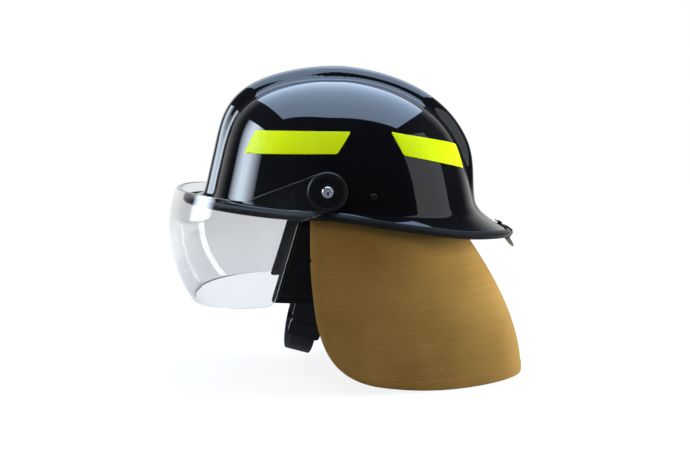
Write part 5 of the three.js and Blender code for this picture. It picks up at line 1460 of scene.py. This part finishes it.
def bracket(side, sign):
    """A turned post whose first ring lies on the shell's own surface."""
    rings = []
    sleeve_end = DISC_INNER_X - SLEEVE_GAP
    profile = [(BRACKET_RADIUS, BRACKET_START_X), (BRACKET_RADIUS, BRACKET_FACE_X)]
    profile += [(SLEEVE_RADIUS, BRACKET_FACE_X), (SLEEVE_RADIUS, sleeve_end)]
    for r, x in [(BRACKET_RADIUS, None), *soften(profile, 1.0)[1:]]:
        spots = circle(PIVOT, r, full_turn(64))
        rings.append([(sign * (side_x(y, z, SEAT) if x is None else x), y, z) for y, z in spots])
    foot = (sign * side_x(*PIVOT, SEAT), *PIVOT)
    tip = (sign * sleeve_end, *PIVOT)
    piece = loft(f"bracket_{side}", rings, nylon_black, poles=[foot, tip])
    return stands_for(even_normals(piece), f"pivot_bracket_{side}")


def washer(name, node, sign, inner_x):
    box = [(PIVOT_HOLE, 0), (WASHER_RADIUS, 0), (WASHER_RADIUS, WASHER_THICK), (PIVOT_HOLE, WASHER_THICK)]
    section = soft_loop(box, 0.15, 3)
    rings = []
    for angle in full_turn(64):
        rings.append([(sign * (inner_x + h), *circle(PIVOT, r, [angle])[0]) for r, h in section])
    return stands_for(even_normals(loft(name, rings, foam_grey, wrap=True)), node)


for side, sign in (("left", 1), ("right", -1)):
    bracket(side, sign)
    washer(f"washer_in_{side}", f"inner_washer_{side}", sign, BRACKET_FACE_X + SEAT)
    washer(f"washer_out_{side}", f"outer_washer_{side}", sign, EAR_OUTER_X + SEAT)
    finer(f"pivot_nut_{side}", screw_steel, 0.3)
print("bracket stands", round(BRACKET_FACE_X - side_x(*PIVOT, 0), 1), "mm off the shell")

# %% [markdown]
# ## Pivot discs
# The disc is a moulded cap with a raised rim, which covers the shield's ear and clamps it. Its face
# is sunken, and a collar stands round the screw's head. It is turned from one profile.

# %% Pivot discs


def pivot_disc(side, sign):
    """A cap with a chamfered rim, a sunken face and a collar round the screw's head."""
    top, face, collar, seat = DISC_OUTER_X, DISC_OUTER_X - 0.9, DISC_OUTER_X - 0.3, HEAD_SEAT_X - 0.35
    profile = [(0, DISC_INNER_X), (DISC_RADIUS, DISC_INNER_X), (DISC_RADIUS, top - 1.5)]
    profile += [(18.3, top), (16.9, top), (16.0, face), (7.4, face)]
    profile += [(6.9, collar), (5.9, collar), (5.85, seat), (0, seat)]
    profile = [(r, sign * x) for r, x in profile]
    piece = turned(f"disc_{side}", profile, nylon_black, (0, *PIVOT), segments=96, edge=0.45)
    return stands_for(piece, f"pivot_disc_{side}")


for side, sign in (("left", 1), ("right", -1)):
    pivot_disc(side, sign)
print("disc", 2 * DISC_RADIUS, "mm across")

# %% [markdown]
# ## Pivot screws
# The steel screw sits in the disc's middle, with a six-sided socket. The socket is made by pulling
# the round rings of the turned head into hexagons.

# %% Pivot screws
SCREW_HEAD, SCREW_SHANK, SOCKET, HEAD_THICK, SOCKET_DEEP = 5.5, 2.4, 2.9, 2.6, 1.8


def pivot_screw(side, sign):
    tip = box_mm(f"pivot_screw_{side}")[0 if sign > 0 else 1].x * sign
    top = HEAD_SEAT_X + HEAD_THICK
    floor_x = top - SOCKET_DEEP
    head = [(0, tip), (SCREW_SHANK, tip), (SCREW_SHANK, HEAD_SEAT_X), (SCREW_HEAD, HEAD_SEAT_X)]
    head += [(SCREW_HEAD, top - 0.8), (SCREW_HEAD - 1.0, top), (3.5, top)]
    rings = [(r, x, 0) for r, x in soften(head, 0.3)[1:]]
    rings += [(3.25, top - 0.05, 0.5), (SOCKET + 0.1, top - 0.25, 1), (SOCKET, floor_x, 1)]
    made = []
    for r, x, hexagon in rings:
        ring = []
        for angle in full_turn(96):
            six = math.cos(math.pi / 6) / math.cos(angle % (math.pi / 3) - math.pi / 6)
            a, b = polar(r * lerp(1, six, hexagon), angle)
            ring.append((sign * x, PIVOT_Y + a, PIVOT_Z + b))
        made.append(ring)
    poles = [(sign * tip, *PIVOT), (sign * floor_x, *PIVOT)]
    piece = loft(f"screw_{side}", made, screw_steel, poles=poles)
    return stands_for(even_normals(piece), f"pivot_screw_{side}")


for side, sign in (("left", 1), ("right", -1)):
    pivot_screw(side, sign)
print("screw head", 2 * SCREW_HEAD, "mm across")

# %% [markdown]
# ## Rivets through the shell
# Each rivet has a domed head outside and a flat flange inside. Its ends come from its CAD node.

# %% Rivets
RIVET_HEAD, RIVET_SHANK, RIVET_FLANGE, RIVET_HEAD_THICK = 3.6, 2.0, 2.9, 1.2


def rivet(node, y, z, sign):
    low, high = box_mm(node)
    inside, outside = (low.x, high.x) if sign > 0 else (-high.x, -low.x)
    flange, seat = inside + RIVET_HEAD_THICK, outside - RIVET_HEAD_THICK
    profile = [(0, inside), (RIVET_FLANGE, inside), (RIVET_FLANGE, flange), (RIVET_SHANK, flange)]
    profile += [(RIVET_SHANK, seat), (RIVET_HEAD, seat), (2.6, seat + 0.9), (1.2, outside - 0.04)]
    profile = [(r, sign * x) for r, x in [*profile, (0, outside)]]
    piece = turned(node + "_turned", profile, nylon_black, (0, y, z), edge=0.25)
    return stands_for(piece, node)


ANCHOR, STRIP_RIVET = (-8.0, -3.0), (25.0, 3.5)
for side, sign in (("left", 1), ("right", -1)):
    rivet(f"anchor_rivet_{side}", *ANCHOR, sign)
    rivet(f"strip_rivet_{side}", *STRIP_RIVET, sign)
print("four rivets")

# %% [markdown]
# ## How the cloth hangs
# Curtain and lining follow the crown's wall at the top. Lower down they swing out to a wider hem.
# Soft upright folds grow towards the hem. Both layers share one fold, so that they stay apart.

# %% Cloth surface
STRIP_INSET, CURTAIN_INSET, LINING_INSET = 3.35, 5.1, 7.2
CURTAIN_THICK, LINING_THICK, STRIP_THICK = 1.6, 1.2, 1.4
FLARE_START_Z, HEM_Z, FLARE_POWER = -50.0, -196.0, 1.77
HEM_HALF_WIDTH, HEM_FRONT, HEM_REAR = 114.0, 134.0, 203.0
CLOTH_TOP_Z, CLOTH_MEASURE_Z, FRONT_AZIMUTH = 4.6, -120, 0.4
FOLD_DEPTH, BROAD_SHARE, NARROW_SHARE = 5.0, 0.78, 0.22


def hang(azimuth, z, inset):
    top = wall_radius(azimuth, max(z, BASE_Z), inset)
    fall = min(1, max(0, (FLARE_START_Z - z) / (FLARE_START_Z - HEM_Z)))
    flare = 1 - (1 - fall) ** FLARE_POWER
    hem = oval_radius(azimuth, HEM_HALF_WIDTH, HEM_FRONT, HEM_REAR) + CURTAIN_INSET - inset
    return on_axis(azimuth, lerp(top, hem, flare), z)


def fold(u, z):
    """How far the cloth stands out at a distance round it from the middle of the back, in mm."""
    grown = smoothstep(-z, 40, 180)
    broad = 0.5 + 0.5 * math.sin(u / 27 + 0.8 * math.sin(u / 61) + 0.006 * z + 0.7)
    narrow = 0.5 + 0.5 * math.sin(u / 11.5 + 1.3 * math.sin(u / 37) - 0.01 * z)
    return FOLD_DEPTH * grown * (BROAD_SHARE * broad**1.4 + NARROW_SHARE * narrow)


def hung(inset):
    """The hanging surface at one inset, without its folds."""
    return lambda azimuth, z, depth: hang(azimuth, z, inset)


def hung_place(inset):
    def place(u, v, depth):
        azimuth = math.copysign(float(np.interp(abs(u), hang_along, hang_shares)), u)
        return hang(azimuth, v, inset + depth - fold(u, v))

    return place


hang_shares, hang_along = unroll(hung(CURTAIN_INSET), CLOTH_MEASURE_Z, math.pi, FRONT_AZIMUTH)
print("cloth half way round:", round(hang_along[-1]), "mm")

# %% [markdown]
# ## From a side view to the flat cloth
# Front edge and hem are drawn in side view, and carried onto the hanging surface. The distance
# round from the middle of the back, and the height, are the cloth's flat coordinates. The other
# half mirrors the first.

# %% Cloth outline helpers
OUTLINE_STEP, RIVET_CLEAR = 3.0, 3.95


def cubic(a, b, c, d, count=24):
    a, b, c, d = (np.array(p, float) for p in (a, b, c, d))
    mix = lambda t: (1 - t) ** 3 * a + 3 * t * (1 - t) ** 2 * b + 3 * t * t * (1 - t) * c + t**3 * d
    return [tuple(mix(t)) for t in span(count)]


def flat_across(at, shares, along):
    """Gives the flat distance from the middle of the back to a place of the side view."""

    def across(y, z):
        share = share_of(at, y, z, math.pi, FRONT_AZIMUTH)
        return float(np.interp(-share, -shares, along))

    return across


def flat_cloth(side_view, inset):
    """A whole flat outline from half a side view, drawn from the back over the front to the back."""
    across = flat_across(hung(inset), hang_shares, hang_along)
    line = even_loop(side_view, OUTLINE_STEP, closed=False)
    return both_halves([(across(y, z), z) for y, z in line])


def notch(radius):
    """The cut round the strip's rivet in the cloth's top edge."""
    y, z = STRIP_RIVET
    tilt = math.asin((CLOTH_TOP_Z - z) / radius)
    return circle((y, z), radius, span(12, tilt, -math.pi - tilt))


def round_hole(spot, radius, sign, flat):
    turn = span(21, 0, 2 * math.pi)[:-1]
    return [(sign * flat(y, z), z) for y, z in circle(spot, radius, turn)]


def turn_at(start, corner, end, count):
    return [tuple(p) for p in bend(*(np.array(p, float) for p in (start, corner, end)), count)]


def top_edge(inset, front_y):
    """The top edge in side view, from the middle of the back to the front, with its notch."""
    back_y = hang(math.pi, CLOTH_TOP_Z, inset)[1]
    return [(back_y, CLOTH_TOP_Z), *notch(RIVET_CLEAR), (front_y, CLOTH_TOP_Z)]


print("a hole in the cloth is", 2 * RIVET_CLEAR, "mm across")

# %% [markdown]
# ## The two outlines
# The curtain's front edge falls straight, then sweeps back into a long rounded hem. The lining
# comes further forward, as a flap over the ear, and ends a little higher.

# %% Cloth outlines
edge = [*top_edge(CURTAIN_INSET, -38), (-38, -60)]
edge += turn_at((-38, -60), (-37, -90), (-32, -120), 12)
edge += cubic((-32, -120), (-24, -160), (-8, -178), (25, -187))[1:]
edge += cubic((25, -187), (60, -195), (120, -198), (165, -194))[1:]
edge.append((hang(math.pi, -190, CURTAIN_INSET)[1], -191.5))
curtain_loop = flat_cloth(edge, CURTAIN_INSET)
edge = [*top_edge(LINING_INSET, -53), (-53, -20)]
edge += [*turn_at((-77, -100), (-78, -104), (-73, -104), 6), (-34, -103)]
edge += cubic((-34, -103), (-20, -150), (0, -168), (25, -176))[1:]
edge.append((hang(math.pi, -181, LINING_INSET)[1], -181.1))
lining_loop = flat_cloth(edge, LINING_INSET)
for name, loop in (("curtain", curtain_loop), ("lining", lining_loop)):
    print("flat", name, "outline:", round(abs(area_of(loop)) / 1e6, 4), "square metres")

# %% [markdown]
# ## Hems
# Cloth is folded under along its edge, so a band there is thicker, and the row of stitches that
# holds the fold pulls a small groove.

# %% Hem helper
HEM_BAND, STITCH_IN = 9.0, 7.4


def thicken_hem(piece, loop, extra):
    """Adds the folded hem's thickness along the edge, and the groove that the stitches pull."""
    count = len(piece.data.vertices)
    flat = np.zeros(count * 3)
    piece.data.attributes["thread"].data.foreach_get("vector", flat)
    flat = flat.reshape(-1, 3)[:, :2] / MM
    far = reach_to(flat, np.array(loop))
    band = extra / (1 + np.exp((far - HEM_BAND) * 3.0))
    band -= groove(far - STITCH_IN, 0.9, 0.7 * extra)
    normals = np.zeros(count * 3)
    piece.data.vertices.foreach_get("normal", normals)
    co = points_of(piece.data) + normals.reshape(-1, 3) * band[:, None] * MM
    piece.data.vertices.foreach_set("co", co.ravel())
    piece.data.update()


print("hem", HEM_BAND, "mm wide, stitched", STITCH_IN, "mm from the edge")

# %% [markdown]
# ## Stitches
# Each stitch is a short raised thread that dives into the cloth at both ends. A row is one mesh: a
# small tapered tube, repeated along the edge.

# %% Stitch helper
STITCH_PITCH, STITCH_LONG, STITCH_TOP_Z = 3.4, 2.3, -6
STITCH_RINGS = ((0, 0.3, 0.12), (0.16, 0.05, 0.34), (0.5, -0.08, 0.4), (0.84, 0.05, 0.34), (1, 0.3, 0.12))
SIDES = 6


def stitch_row(name, loop, place, lift, material):
    """Raised threads along a loop, STITCH_IN from its edge, below the shell's foot."""
    line = offset_loop(anticlockwise(loop), -STITCH_IN)
    steps = np.linalg.norm(np.roll(line, -1, 0) - line, axis=1)
    along = np.concatenate([[0], np.cumsum(steps)])
    closed = np.vstack([line, line[:1]])
    spot = lambda s: [float(np.interp(s, along, closed[:, axis])) for axis in (0, 1)]
    points, faces = [], []
    for s in np.arange(0, along[-1] - STITCH_PITCH, STITCH_PITCH):
        (u, v), (u2, v2) = spot(s), spot(s + STITCH_LONG)
        if v >= STITCH_TOP_Z:
            continue
        a, b = Vector(place(u, v, -lift)), Vector(place(u2, v2, -lift))
        up = (Vector(place(u, v, -lift - 1)) - a).normalized()
        run = (b - a).normalized()
        side = run.cross(up)
        base = len(points)
        for share, sink, r in STITCH_RINGS:
            centre = a.lerp(b, share) - up * sink
            ring = [polar(r, math.pi * k / 3) for k in range(SIDES)]
            points += [tuple(centre + side * p + up * q) for p, q in ring]
        rings = [range(first, first + SIDES) for first in range(base, len(points), SIDES)]
        for ring, after in zip(rings, rings[1:]):
            faces += joined(ring, after)
        faces += [tuple(rings[0]), tuple(rings[-1])]
    print(name, "has", len(points) // (SIDES * len(STITCH_RINGS)), "stitches")
    return add_mesh(name, points, faces, material)


print("stitches every", STITCH_PITCH, "mm")

# %% [markdown]
# ## Sewing thread
# The thread is the cloth's own fibre, twisted. Fine slanting bands show the twist.

# %% Thread material


def thread_material(name, dark, light):
    material, tree, sockets = start_material(name, roughness=0.7, specular_ior_level=0.3)
    bands = {"Vector": object_place(tree), "Scale": 700.0, "Distortion": 2.0}
    twist = add_node(tree, "ShaderNodeTexWave", bands).outputs["Fac"]
    tint = mix_colours(tree, twist, colour(*dark), colour(*light))
    link(tree, sockets, base_color=tint, normal=bump(tree, twist, 0.08))
    return material


tan_thread = thread_material("Tan thread", (0.10, 0.058, 0.02), (0.26, 0.165, 0.06))
black_thread = thread_material("Black thread", (0.006, 0.006, 0.007), (0.022, 0.022, 0.024))
print("materials:", tan_thread.name, "and", black_thread.name)

# %% [markdown]
# ## Neck curtain
# The tan cloth keeps heat, water and embers off the neck and ears. It hangs free from the strip.

# %% Neck curtain


def anchor_holes(inset):
    """The cloth's two holes for the chin strap's anchors, as flat outlines."""
    across = flat_across(hung(inset), hang_shares, hang_along)
    return [round_hole(ANCHOR, RIVET_CLEAR, sign, across) for sign in (1, -1)]


def flat_size(loop):
    """Width and length of the piece that the cloth is cut from, in mm."""
    heights = [v for u, v in loop]
    return 2 * max(u for u, v in loop), max(heights) - min(heights)


place, holes = hung_place(CURTAIN_INSET), anchor_holes(CURTAIN_INSET)
curtain = cut_sheet("curtain", curtain_loop, place, CURTAIN_THICK, curtain_tan, 3.2, 0.7, holes)
thicken_hem(curtain, curtain_loop, 0.45)
stands_for(curtain, "neck_curtain")
curtain_row = stitch_row("curtain_stitches", curtain_loop, place, 0.2, tan_thread)
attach(curtain_row, "helmet")
print("curtain flat:", [round(size) for size in flat_size(curtain_loop)], "mm")

# %% [markdown]
# ## Curtain lining
# The black lining hangs inside the curtain. Its front ends come forward of it as flaps that cover
# the ears.

# %% Curtain lining
place, holes = hung_place(LINING_INSET), anchor_holes(LINING_INSET)
lining = cut_sheet("lining", lining_loop, place, LINING_THICK, lining_black, 3.6, 0.5, holes)
thicken_hem(lining, lining_loop, 0.2)
stands_for(lining, "curtain_lining")
lining_row = stitch_row("lining_stitches", lining_loop, place, 0.0, black_thread)
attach(lining_row, "helmet")
print("lining flat:", [round(size) for size in flat_size(lining_loop)], "mm")

# %% [markdown]
# ## The cloth's cut size
# Each sheet's width and length as cut, and the area of the cut, are worked out and printed, since the
# cut is shaped. The area is that of the hanging surface, which is what the flat piece must cover.


def one_side(piece):
    """Half of a thin sheet's whole surface, in square metres."""
    return sum(face.area for face in piece.data.polygons) / 2


for piece, loop, rows in ((curtain, curtain_loop, curtain_row), (lining, lining_loop, lining_row)):
    wide, long = flat_size(loop)
    flat = (wide * MM, long * MM)
    cut = min(one_side(piece), 0.999 * flat[0] * flat[1])
    print(piece.name, "area", round(cut, 4), "of", round(flat[0] * flat[1], 4), "square metres")

# %% [markdown]
# ## Curtain strip
# A band of stiff tape inside the shell's foot holds both layers of cloth. Four rivets fix it.

# %% Curtain strip
STRIP_TOP_Z, STRIP_LOW_Z, STRIP_FRONT_Y = 9.5, -8.5, -15.0


def on_strip(azimuth, z, depth):
    return on_axis(azimuth, wall_radius(azimuth, z, STRIP_INSET + depth), z)


strip_shares, strip_along = unroll(on_strip, 0, math.pi, FRONT_AZIMUTH)
strip_u = flat_across(on_strip, strip_shares, strip_along)


def place_strip(u, v, depth):
    azimuth = math.copysign(float(np.interp(abs(u), strip_along, strip_shares)), u)
    return on_strip(azimuth, v, depth)


reach = strip_u(STRIP_FRONT_Y, 0)
box = [(-reach, STRIP_LOW_Z), (reach, STRIP_LOW_Z), (reach, STRIP_TOP_Z), (-reach, STRIP_TOP_Z)]
loop = even_loop(soft_loop(box, 2.0, 5), 3.0)
holes = [round_hole(spot, 2.35, sign, strip_u) for spot in (ANCHOR, STRIP_RIVET) for sign in (1, -1)]
tape = cut_sheet("strip_tape", loop, place_strip, STRIP_THICK, webbing_black, 4.0, 0.4, holes)
stands_for(tape, "curtain_strip")
print("strip is", round(2 * reach), "mm long")

# %% [markdown]
# ## Chin strap
# Tape hangs from a steel plate at each side, in a loop that leans forward under the chin. At each
# plate it goes out through a slot and is folded down over the bar. The loop's frame is turned about
# the anchors.

# %% Chin strap
WEB_WIDTH, WEB_THICK, LOOP_LEAN, PLATE_THICK = 25.0, 1.7, 15.0, 1.6
LEG_TOP_X, LEG_X, LEG_TOP, LEG_END, LOOP_BOW = 96.0, 79.0, 16.0, 146.0, 24.0
LEG_FOLD_END, PLUG_DEPTH, SOCKET_DEPTH = 45, 107.65, 140.35
LOOP = Matrix.Translation((0, *ANCHOR)) @ Matrix.Rotation(-math.radians(LOOP_LEAN), 4, "X")
PLATE_X = side_x(*ANCHOR, -(LINING_INSET + LINING_THICK + WEB_THICK + 2.1))


def leg_x(depth):
    return lerp(LEG_TOP_X, LEG_X, (LEG_TOP - depth) / (LEG_TOP - LEG_END))


def upper_fold(sign):
    outer = PLATE_X + WEB_THICK / 2 + SEAT
    inner = PLATE_X - PLATE_THICK - WEB_THICK / 2 - SEAT
    middle = PLATE_X - PLATE_THICK / 2
    points = [(outer, -27), (outer, -18.2), (middle, -16.4), (inner, -18.2), (inner, -27)]
    return [(sign * x, z) for x, z in points]


def chin_tape(name, node, line):
    path = [LOOP @ Vector((x, 0, z)) for x, z in smooth_path(line)]
    across = LOOP.to_3x3() @ Vector((0, 1, 0))
    return stands_for(strap(name, path, across, WEB_WIDTH, WEB_THICK, webbing_black), node)


left = [*upper_fold(1), *[(leg_x(d), -d) for d in (LEG_FOLD_END, PLUG_DEPTH)]]
chin_tape("chin_tape_left", "chin_strap_left", left)
under = [(LEG_X * math.cos(t), -LEG_END - LOOP_BOW * math.sin(t)) for t in span(17, 0, math.pi)]
rest = [(-leg_x(d), -d) for d in (100, 72, LEG_FOLD_END)]
right = [(leg_x(SOCKET_DEPTH), -SOCKET_DEPTH), *under, *rest, *upper_fold(-1)[::-1]]
chin_tape("chin_tape_right", "chin_strap_right", right)
for node in ("buckle_socket", "buckle_plug", "strap_slide"):
    finer(node, nylon_black, 0.7)
for side in ("left", "right"):
    finer(f"strap_anchor_{side}", screw_steel, 0.35)
print("chin strap plates at", round(PLATE_X, 1), "mm each side")

# %% [markdown]
# ## Hanging ring
# A steel ring on a folded clip at the back of the brim hangs the helmet on a hook. The ring is round
# wire bent to a D. It is swept along its path, in the tilted frame of its joint.

# %% Hanging ring
RING_HALF, RING_DROP, RING_SHANK, WIRE, RING_LEAN = 13.0, 12.5, 3.0, 1.3, 35.0
pivot = [j for j in frame["joints"] if j["name"] == "ring_swing"][0]["pos_m"]
RING = Matrix.Translation(Vector(pivot) / MM) @ Matrix.Rotation(math.radians(RING_LEAN), 4, "X")
bow_drop = RING_DROP - RING_SHANK
bow = [(RING_HALF * math.cos(t), -RING_SHANK - bow_drop * math.sin(t)) for t in span(41, 0, math.pi)]
path = soft_loop([(-RING_HALF, 0), (0, 0), (RING_HALF, 0), *bow], 1.6, 6)
rings = []
for i, here in enumerate(path):
    run = path[(i + 1) % len(path)] - path[i - 1]
    run = run / np.linalg.norm(run)
    ring = []
    for a, b in circle((0, 0), WIRE, full_turn(20)):
        ring.append(tuple(RING @ Vector((here[0] + run[1] * a, b, here[1] - run[0] * a))))
    rings.append(ring)
stands_for(loft("ring", rings, ring_steel, wrap=True), "hanger_ring")
finer("hanger_clip", nylon_black, 0.3)
finer("hanger_rivet", nylon_black, 0.3)
print("ring", 2 * RING_HALF, "mm wide")

# %% [markdown]
# ## What each ray may see
# Floor and backdrop are white to the camera, and through the shield. Gloss has to see white only on
# the far side, as in a studio whose near side is dark, or the black shell would turn grey. A ray
# that has bounced inside the shield's plastic counts as gloss, not as looking through it.

# %% Ray masks


def ray_masks(tree, far_side):
    """Where the surroundings show as white, which rays look at them, and which have bounced."""
    path = add_node(tree, "ShaderNodeLightPath").outputs
    straight = maths(tree, "LESS_THAN", path["Glossy Depth"], 0.5)
    through = maths(tree, "MULTIPLY", path["Is Transmission Ray"], straight)
    seen = maths(tree, "MAXIMUM", path["Is Camera Ray"], through)
    bounced = maths(tree, "MAXIMUM", path["Is Glossy Ray"], path["Is Transmission Ray"])
    white = maths(tree, "MAXIMUM", seen, maths(tree, "MULTIPLY", bounced, far_side))
    return white, seen, bounced


print("ray masks: white, seen and bounced")

# %% [markdown]
# ## Floor
# A wide pale disc lies under the hem. It is white to the camera, but darker where the object keeps
# the light off it, so the object's soft shadow shows. From below it is clear, so that the inside
# of the object can be looked at.

# %% Floor
FLOOR_RADIUS, FLOOR_GAP = 6000.0, 0.3
MIRROR_NEAR_X, MIRROR_FAR_X = 0.2, -0.5
GLOW_START, GLOW_END, GLOW_LOW, GLOW_FULL = 0.3, 1.2, 0.84, 1.0
floor_paint, tree, sockets = start_material("Pale floor", roughness=0.9, specular_ior_level=0.1)
place = object_place(tree)
tone = mix_colours(tree, noise(tree, place, 3.0, 4.0), colour(0.18, 0.18, 0.18), colour(0.22, 0.22, 0.22))
link(tree, sockets, base_color=tone)
aside = add_node(tree, "ShaderNodeSeparateXYZ", {0: place}).outputs["X"]
looked_at, _, _ = ray_masks(tree, from_range(tree, aside, MIRROR_NEAR_X, MIRROR_FAR_X))
shade = add_node(tree, "ShaderNodeBsdfDiffuse", {"Color": colour(0.13, 0.13, 0.13)})
far = add_node(tree, "ShaderNodeVectorMath", {0: place}, operation="LENGTH").outputs["Value"]
level = in_range(tree, from_range(tree, far, GLOW_START, GLOW_END), GLOW_LOW, GLOW_FULL)
glow = add_node(tree, "ShaderNodeEmission", {"Color": colour(1, 1, 1), "Strength": level})
pale = add_node(tree, "ShaderNodeAddShader", {0: shade.outputs[0], 1: glow.outputs[0]})
solid = tree.nodes["Principled BSDF"].outputs[0]
either = add_node(tree, "ShaderNodeMixShader", {0: looked_at, 1: solid, 2: pale.outputs[0]})
below = add_node(tree, "ShaderNodeNewGeometry").outputs["Backfacing"]
clear = add_node(tree, "ShaderNodeBsdfTransparent", {"Color": colour(1, 1, 1)})
one_sided = add_node(tree, "ShaderNodeMixShader", {0: below, 1: either.outputs[0], 2: clear.outputs[0]})
tree.links.new(one_sided.outputs[0], tree.nodes["Material Output"].inputs["Surface"])
floor_z = cad_low.z / MM - FLOOR_GAP
rim = [(*polar(FLOOR_RADIUS, t), floor_z) for t in full_turn(64)]
floor = add_mesh("floor", rim, [list(range(len(rim)))], floor_paint)
print("floor at", round(floor_z, 1), "mm")

# %% [markdown]
# ## Lights
# Soft boxes light the object as a studio would: a wide cool one overhead, one in front of the brow
# and one behind. The front one is six boxes, one inside the other, so that its reflection fades at
# the edge. A strong key behind the nape and a small warm fill beside the camera are for the cloth,
# and gloss doesn't show them.

# %% Lights


def soft_box(name, spot, target, width, height, power, tint):
    data = bpy.data.lights.new(name, "AREA")
    data.shape = "RECTANGLE"
    data.size, data.size_y = width, height
    data.energy = power
    data.color = tint
    lamp = bpy.data.objects.new(name, data)
    lamp.location = spot
    lamp.rotation_euler = (Vector(target) - Vector(spot)).to_track_quat("-Z", "Y").to_euler()
    bpy.context.collection.objects.link(lamp)
    return lamp


COOL, PALE_BLUE, NEAR_WHITE = (0.53, 0.71, 1.0), (0.74, 0.86, 1.0), (0.9, 0.95, 1.0)
KEY_TINT, WARM = (0.95, 1.0, 1.0), (1.0, 0.88, 0.77)
FRONT_BOXES, FRONT_WIDTH, FRONT_POWER = 6, 1.05, 8.5
soft_box("overhead", (-0.25, 0.12, 1.15), (-0.1, 0.12, 0.0), 1.75, 1.6, 46, COOL)
for step, share in enumerate(span(FRONT_BOXES, 1.0, 0.25)):
    spot = (0.10, -1.5 + 0.002 * step, 0.45)
    wide, power = FRONT_WIDTH * share, FRONT_POWER * share
    soft_box(f"front_{step + 1}", spot, (0, 0, -0.03), wide, 1.0, power, PALE_BLUE)
soft_box("rear", (0.6, 1.5, 0.55), (0, 0.1, 0.0), 1.1, 1.3, 5, NEAR_WHITE)
key = soft_box("key", (-0.25, 1.7, 0.1), (0, 0.1, -0.1), 0.8, 0.8, 66, KEY_TINT)
fill = soft_box("fill", (1.3, -0.4, 0.95), (0, 0.1, -0.1), 0.6, 0.6, 9.5, WARM)
for lamp in (key, fill):
    lamp.visible_glossy = False
print("lamps:", len(bpy.data.lights))

# %% [markdown]
# ## Surroundings
# The backdrop is white to the camera. Gloss shows it only towards the far side, with a soft edge.
# For all other rays the room is nearly dark, so that the lamps alone set the object's level.

# %% World
AMBIENT, WHITE_FROM, WHITE_FULLY = 0.04, -0.4, -0.92
world = bpy.data.worlds.new("Studio")
world.use_nodes = True
bpy.context.scene.world = world
tree = world.node_tree
background = tree.nodes["Background"]
towards = add_node(tree, "ShaderNodeTexCoord").outputs["Generated"]
aim = add_node(tree, "ShaderNodeSeparateXYZ", {0: towards}).outputs["X"]
far_limits = {"Value": aim, "From Min": WHITE_FROM, "From Max": WHITE_FULLY}
far_side = add_node(tree, "ShaderNodeMapRange", far_limits, interpolation_type="SMOOTHSTEP")
white, seen, bounced = ray_masks(tree, far_side.outputs[0])
plain = maths(tree, "SUBTRACT", 1.0, maths(tree, "MAXIMUM", seen, bounced))
strength = maths(tree, "ADD", white, maths(tree, "MULTIPLY", plain, AMBIENT))
tree.links.new(strength, background.inputs["Strength"])
background.inputs["Color"].default_value = colour(1, 1, 1)
print("ambient level:", AMBIENT)

# %% [markdown]
# ## Camera
# The camera looks at the wearer's left side, from a little ahead of the ear and from slightly
# above. It stands a long step away, with a moderate lens, so that the shape isn't stretched.

# %% Camera
VIEW_AZIMUTH, VIEW_ELEVATION, VIEW_DISTANCE, VIEW_LENS, SENSOR = 3.42, 6.27, 1.33, 63.8, 36
look_at = Vector((0, 0.0029, -0.041))
turn, lift = math.radians(VIEW_AZIMUTH), math.radians(VIEW_ELEVATION)
back = Vector((math.cos(lift) * math.cos(turn), -math.cos(lift) * math.sin(turn), math.sin(lift)))
camera_data = bpy.data.cameras.new("camera")
camera_data.lens = VIEW_LENS
camera_data.sensor_width = SENSOR
camera = bpy.data.objects.new("camera", camera_data)
camera.location = look_at + back * VIEW_DISTANCE
camera.rotation_euler = (-back).to_track_quat("-Z", "Y").to_euler()
bpy.context.collection.objects.link(camera)
bpy.context.scene.camera = camera
bpy.context.scene.view_settings.view_transform = "Standard"
print("camera at", [round(v, 3) for v in camera.location])

# %% [markdown]
# ## The end
# The CAD nodes that no piece stands for are printed.

# %% Finish
left = [name for name, node in frame["nodes"].items() if not node.hide_render]
print("CAD nodes still shown:", left)
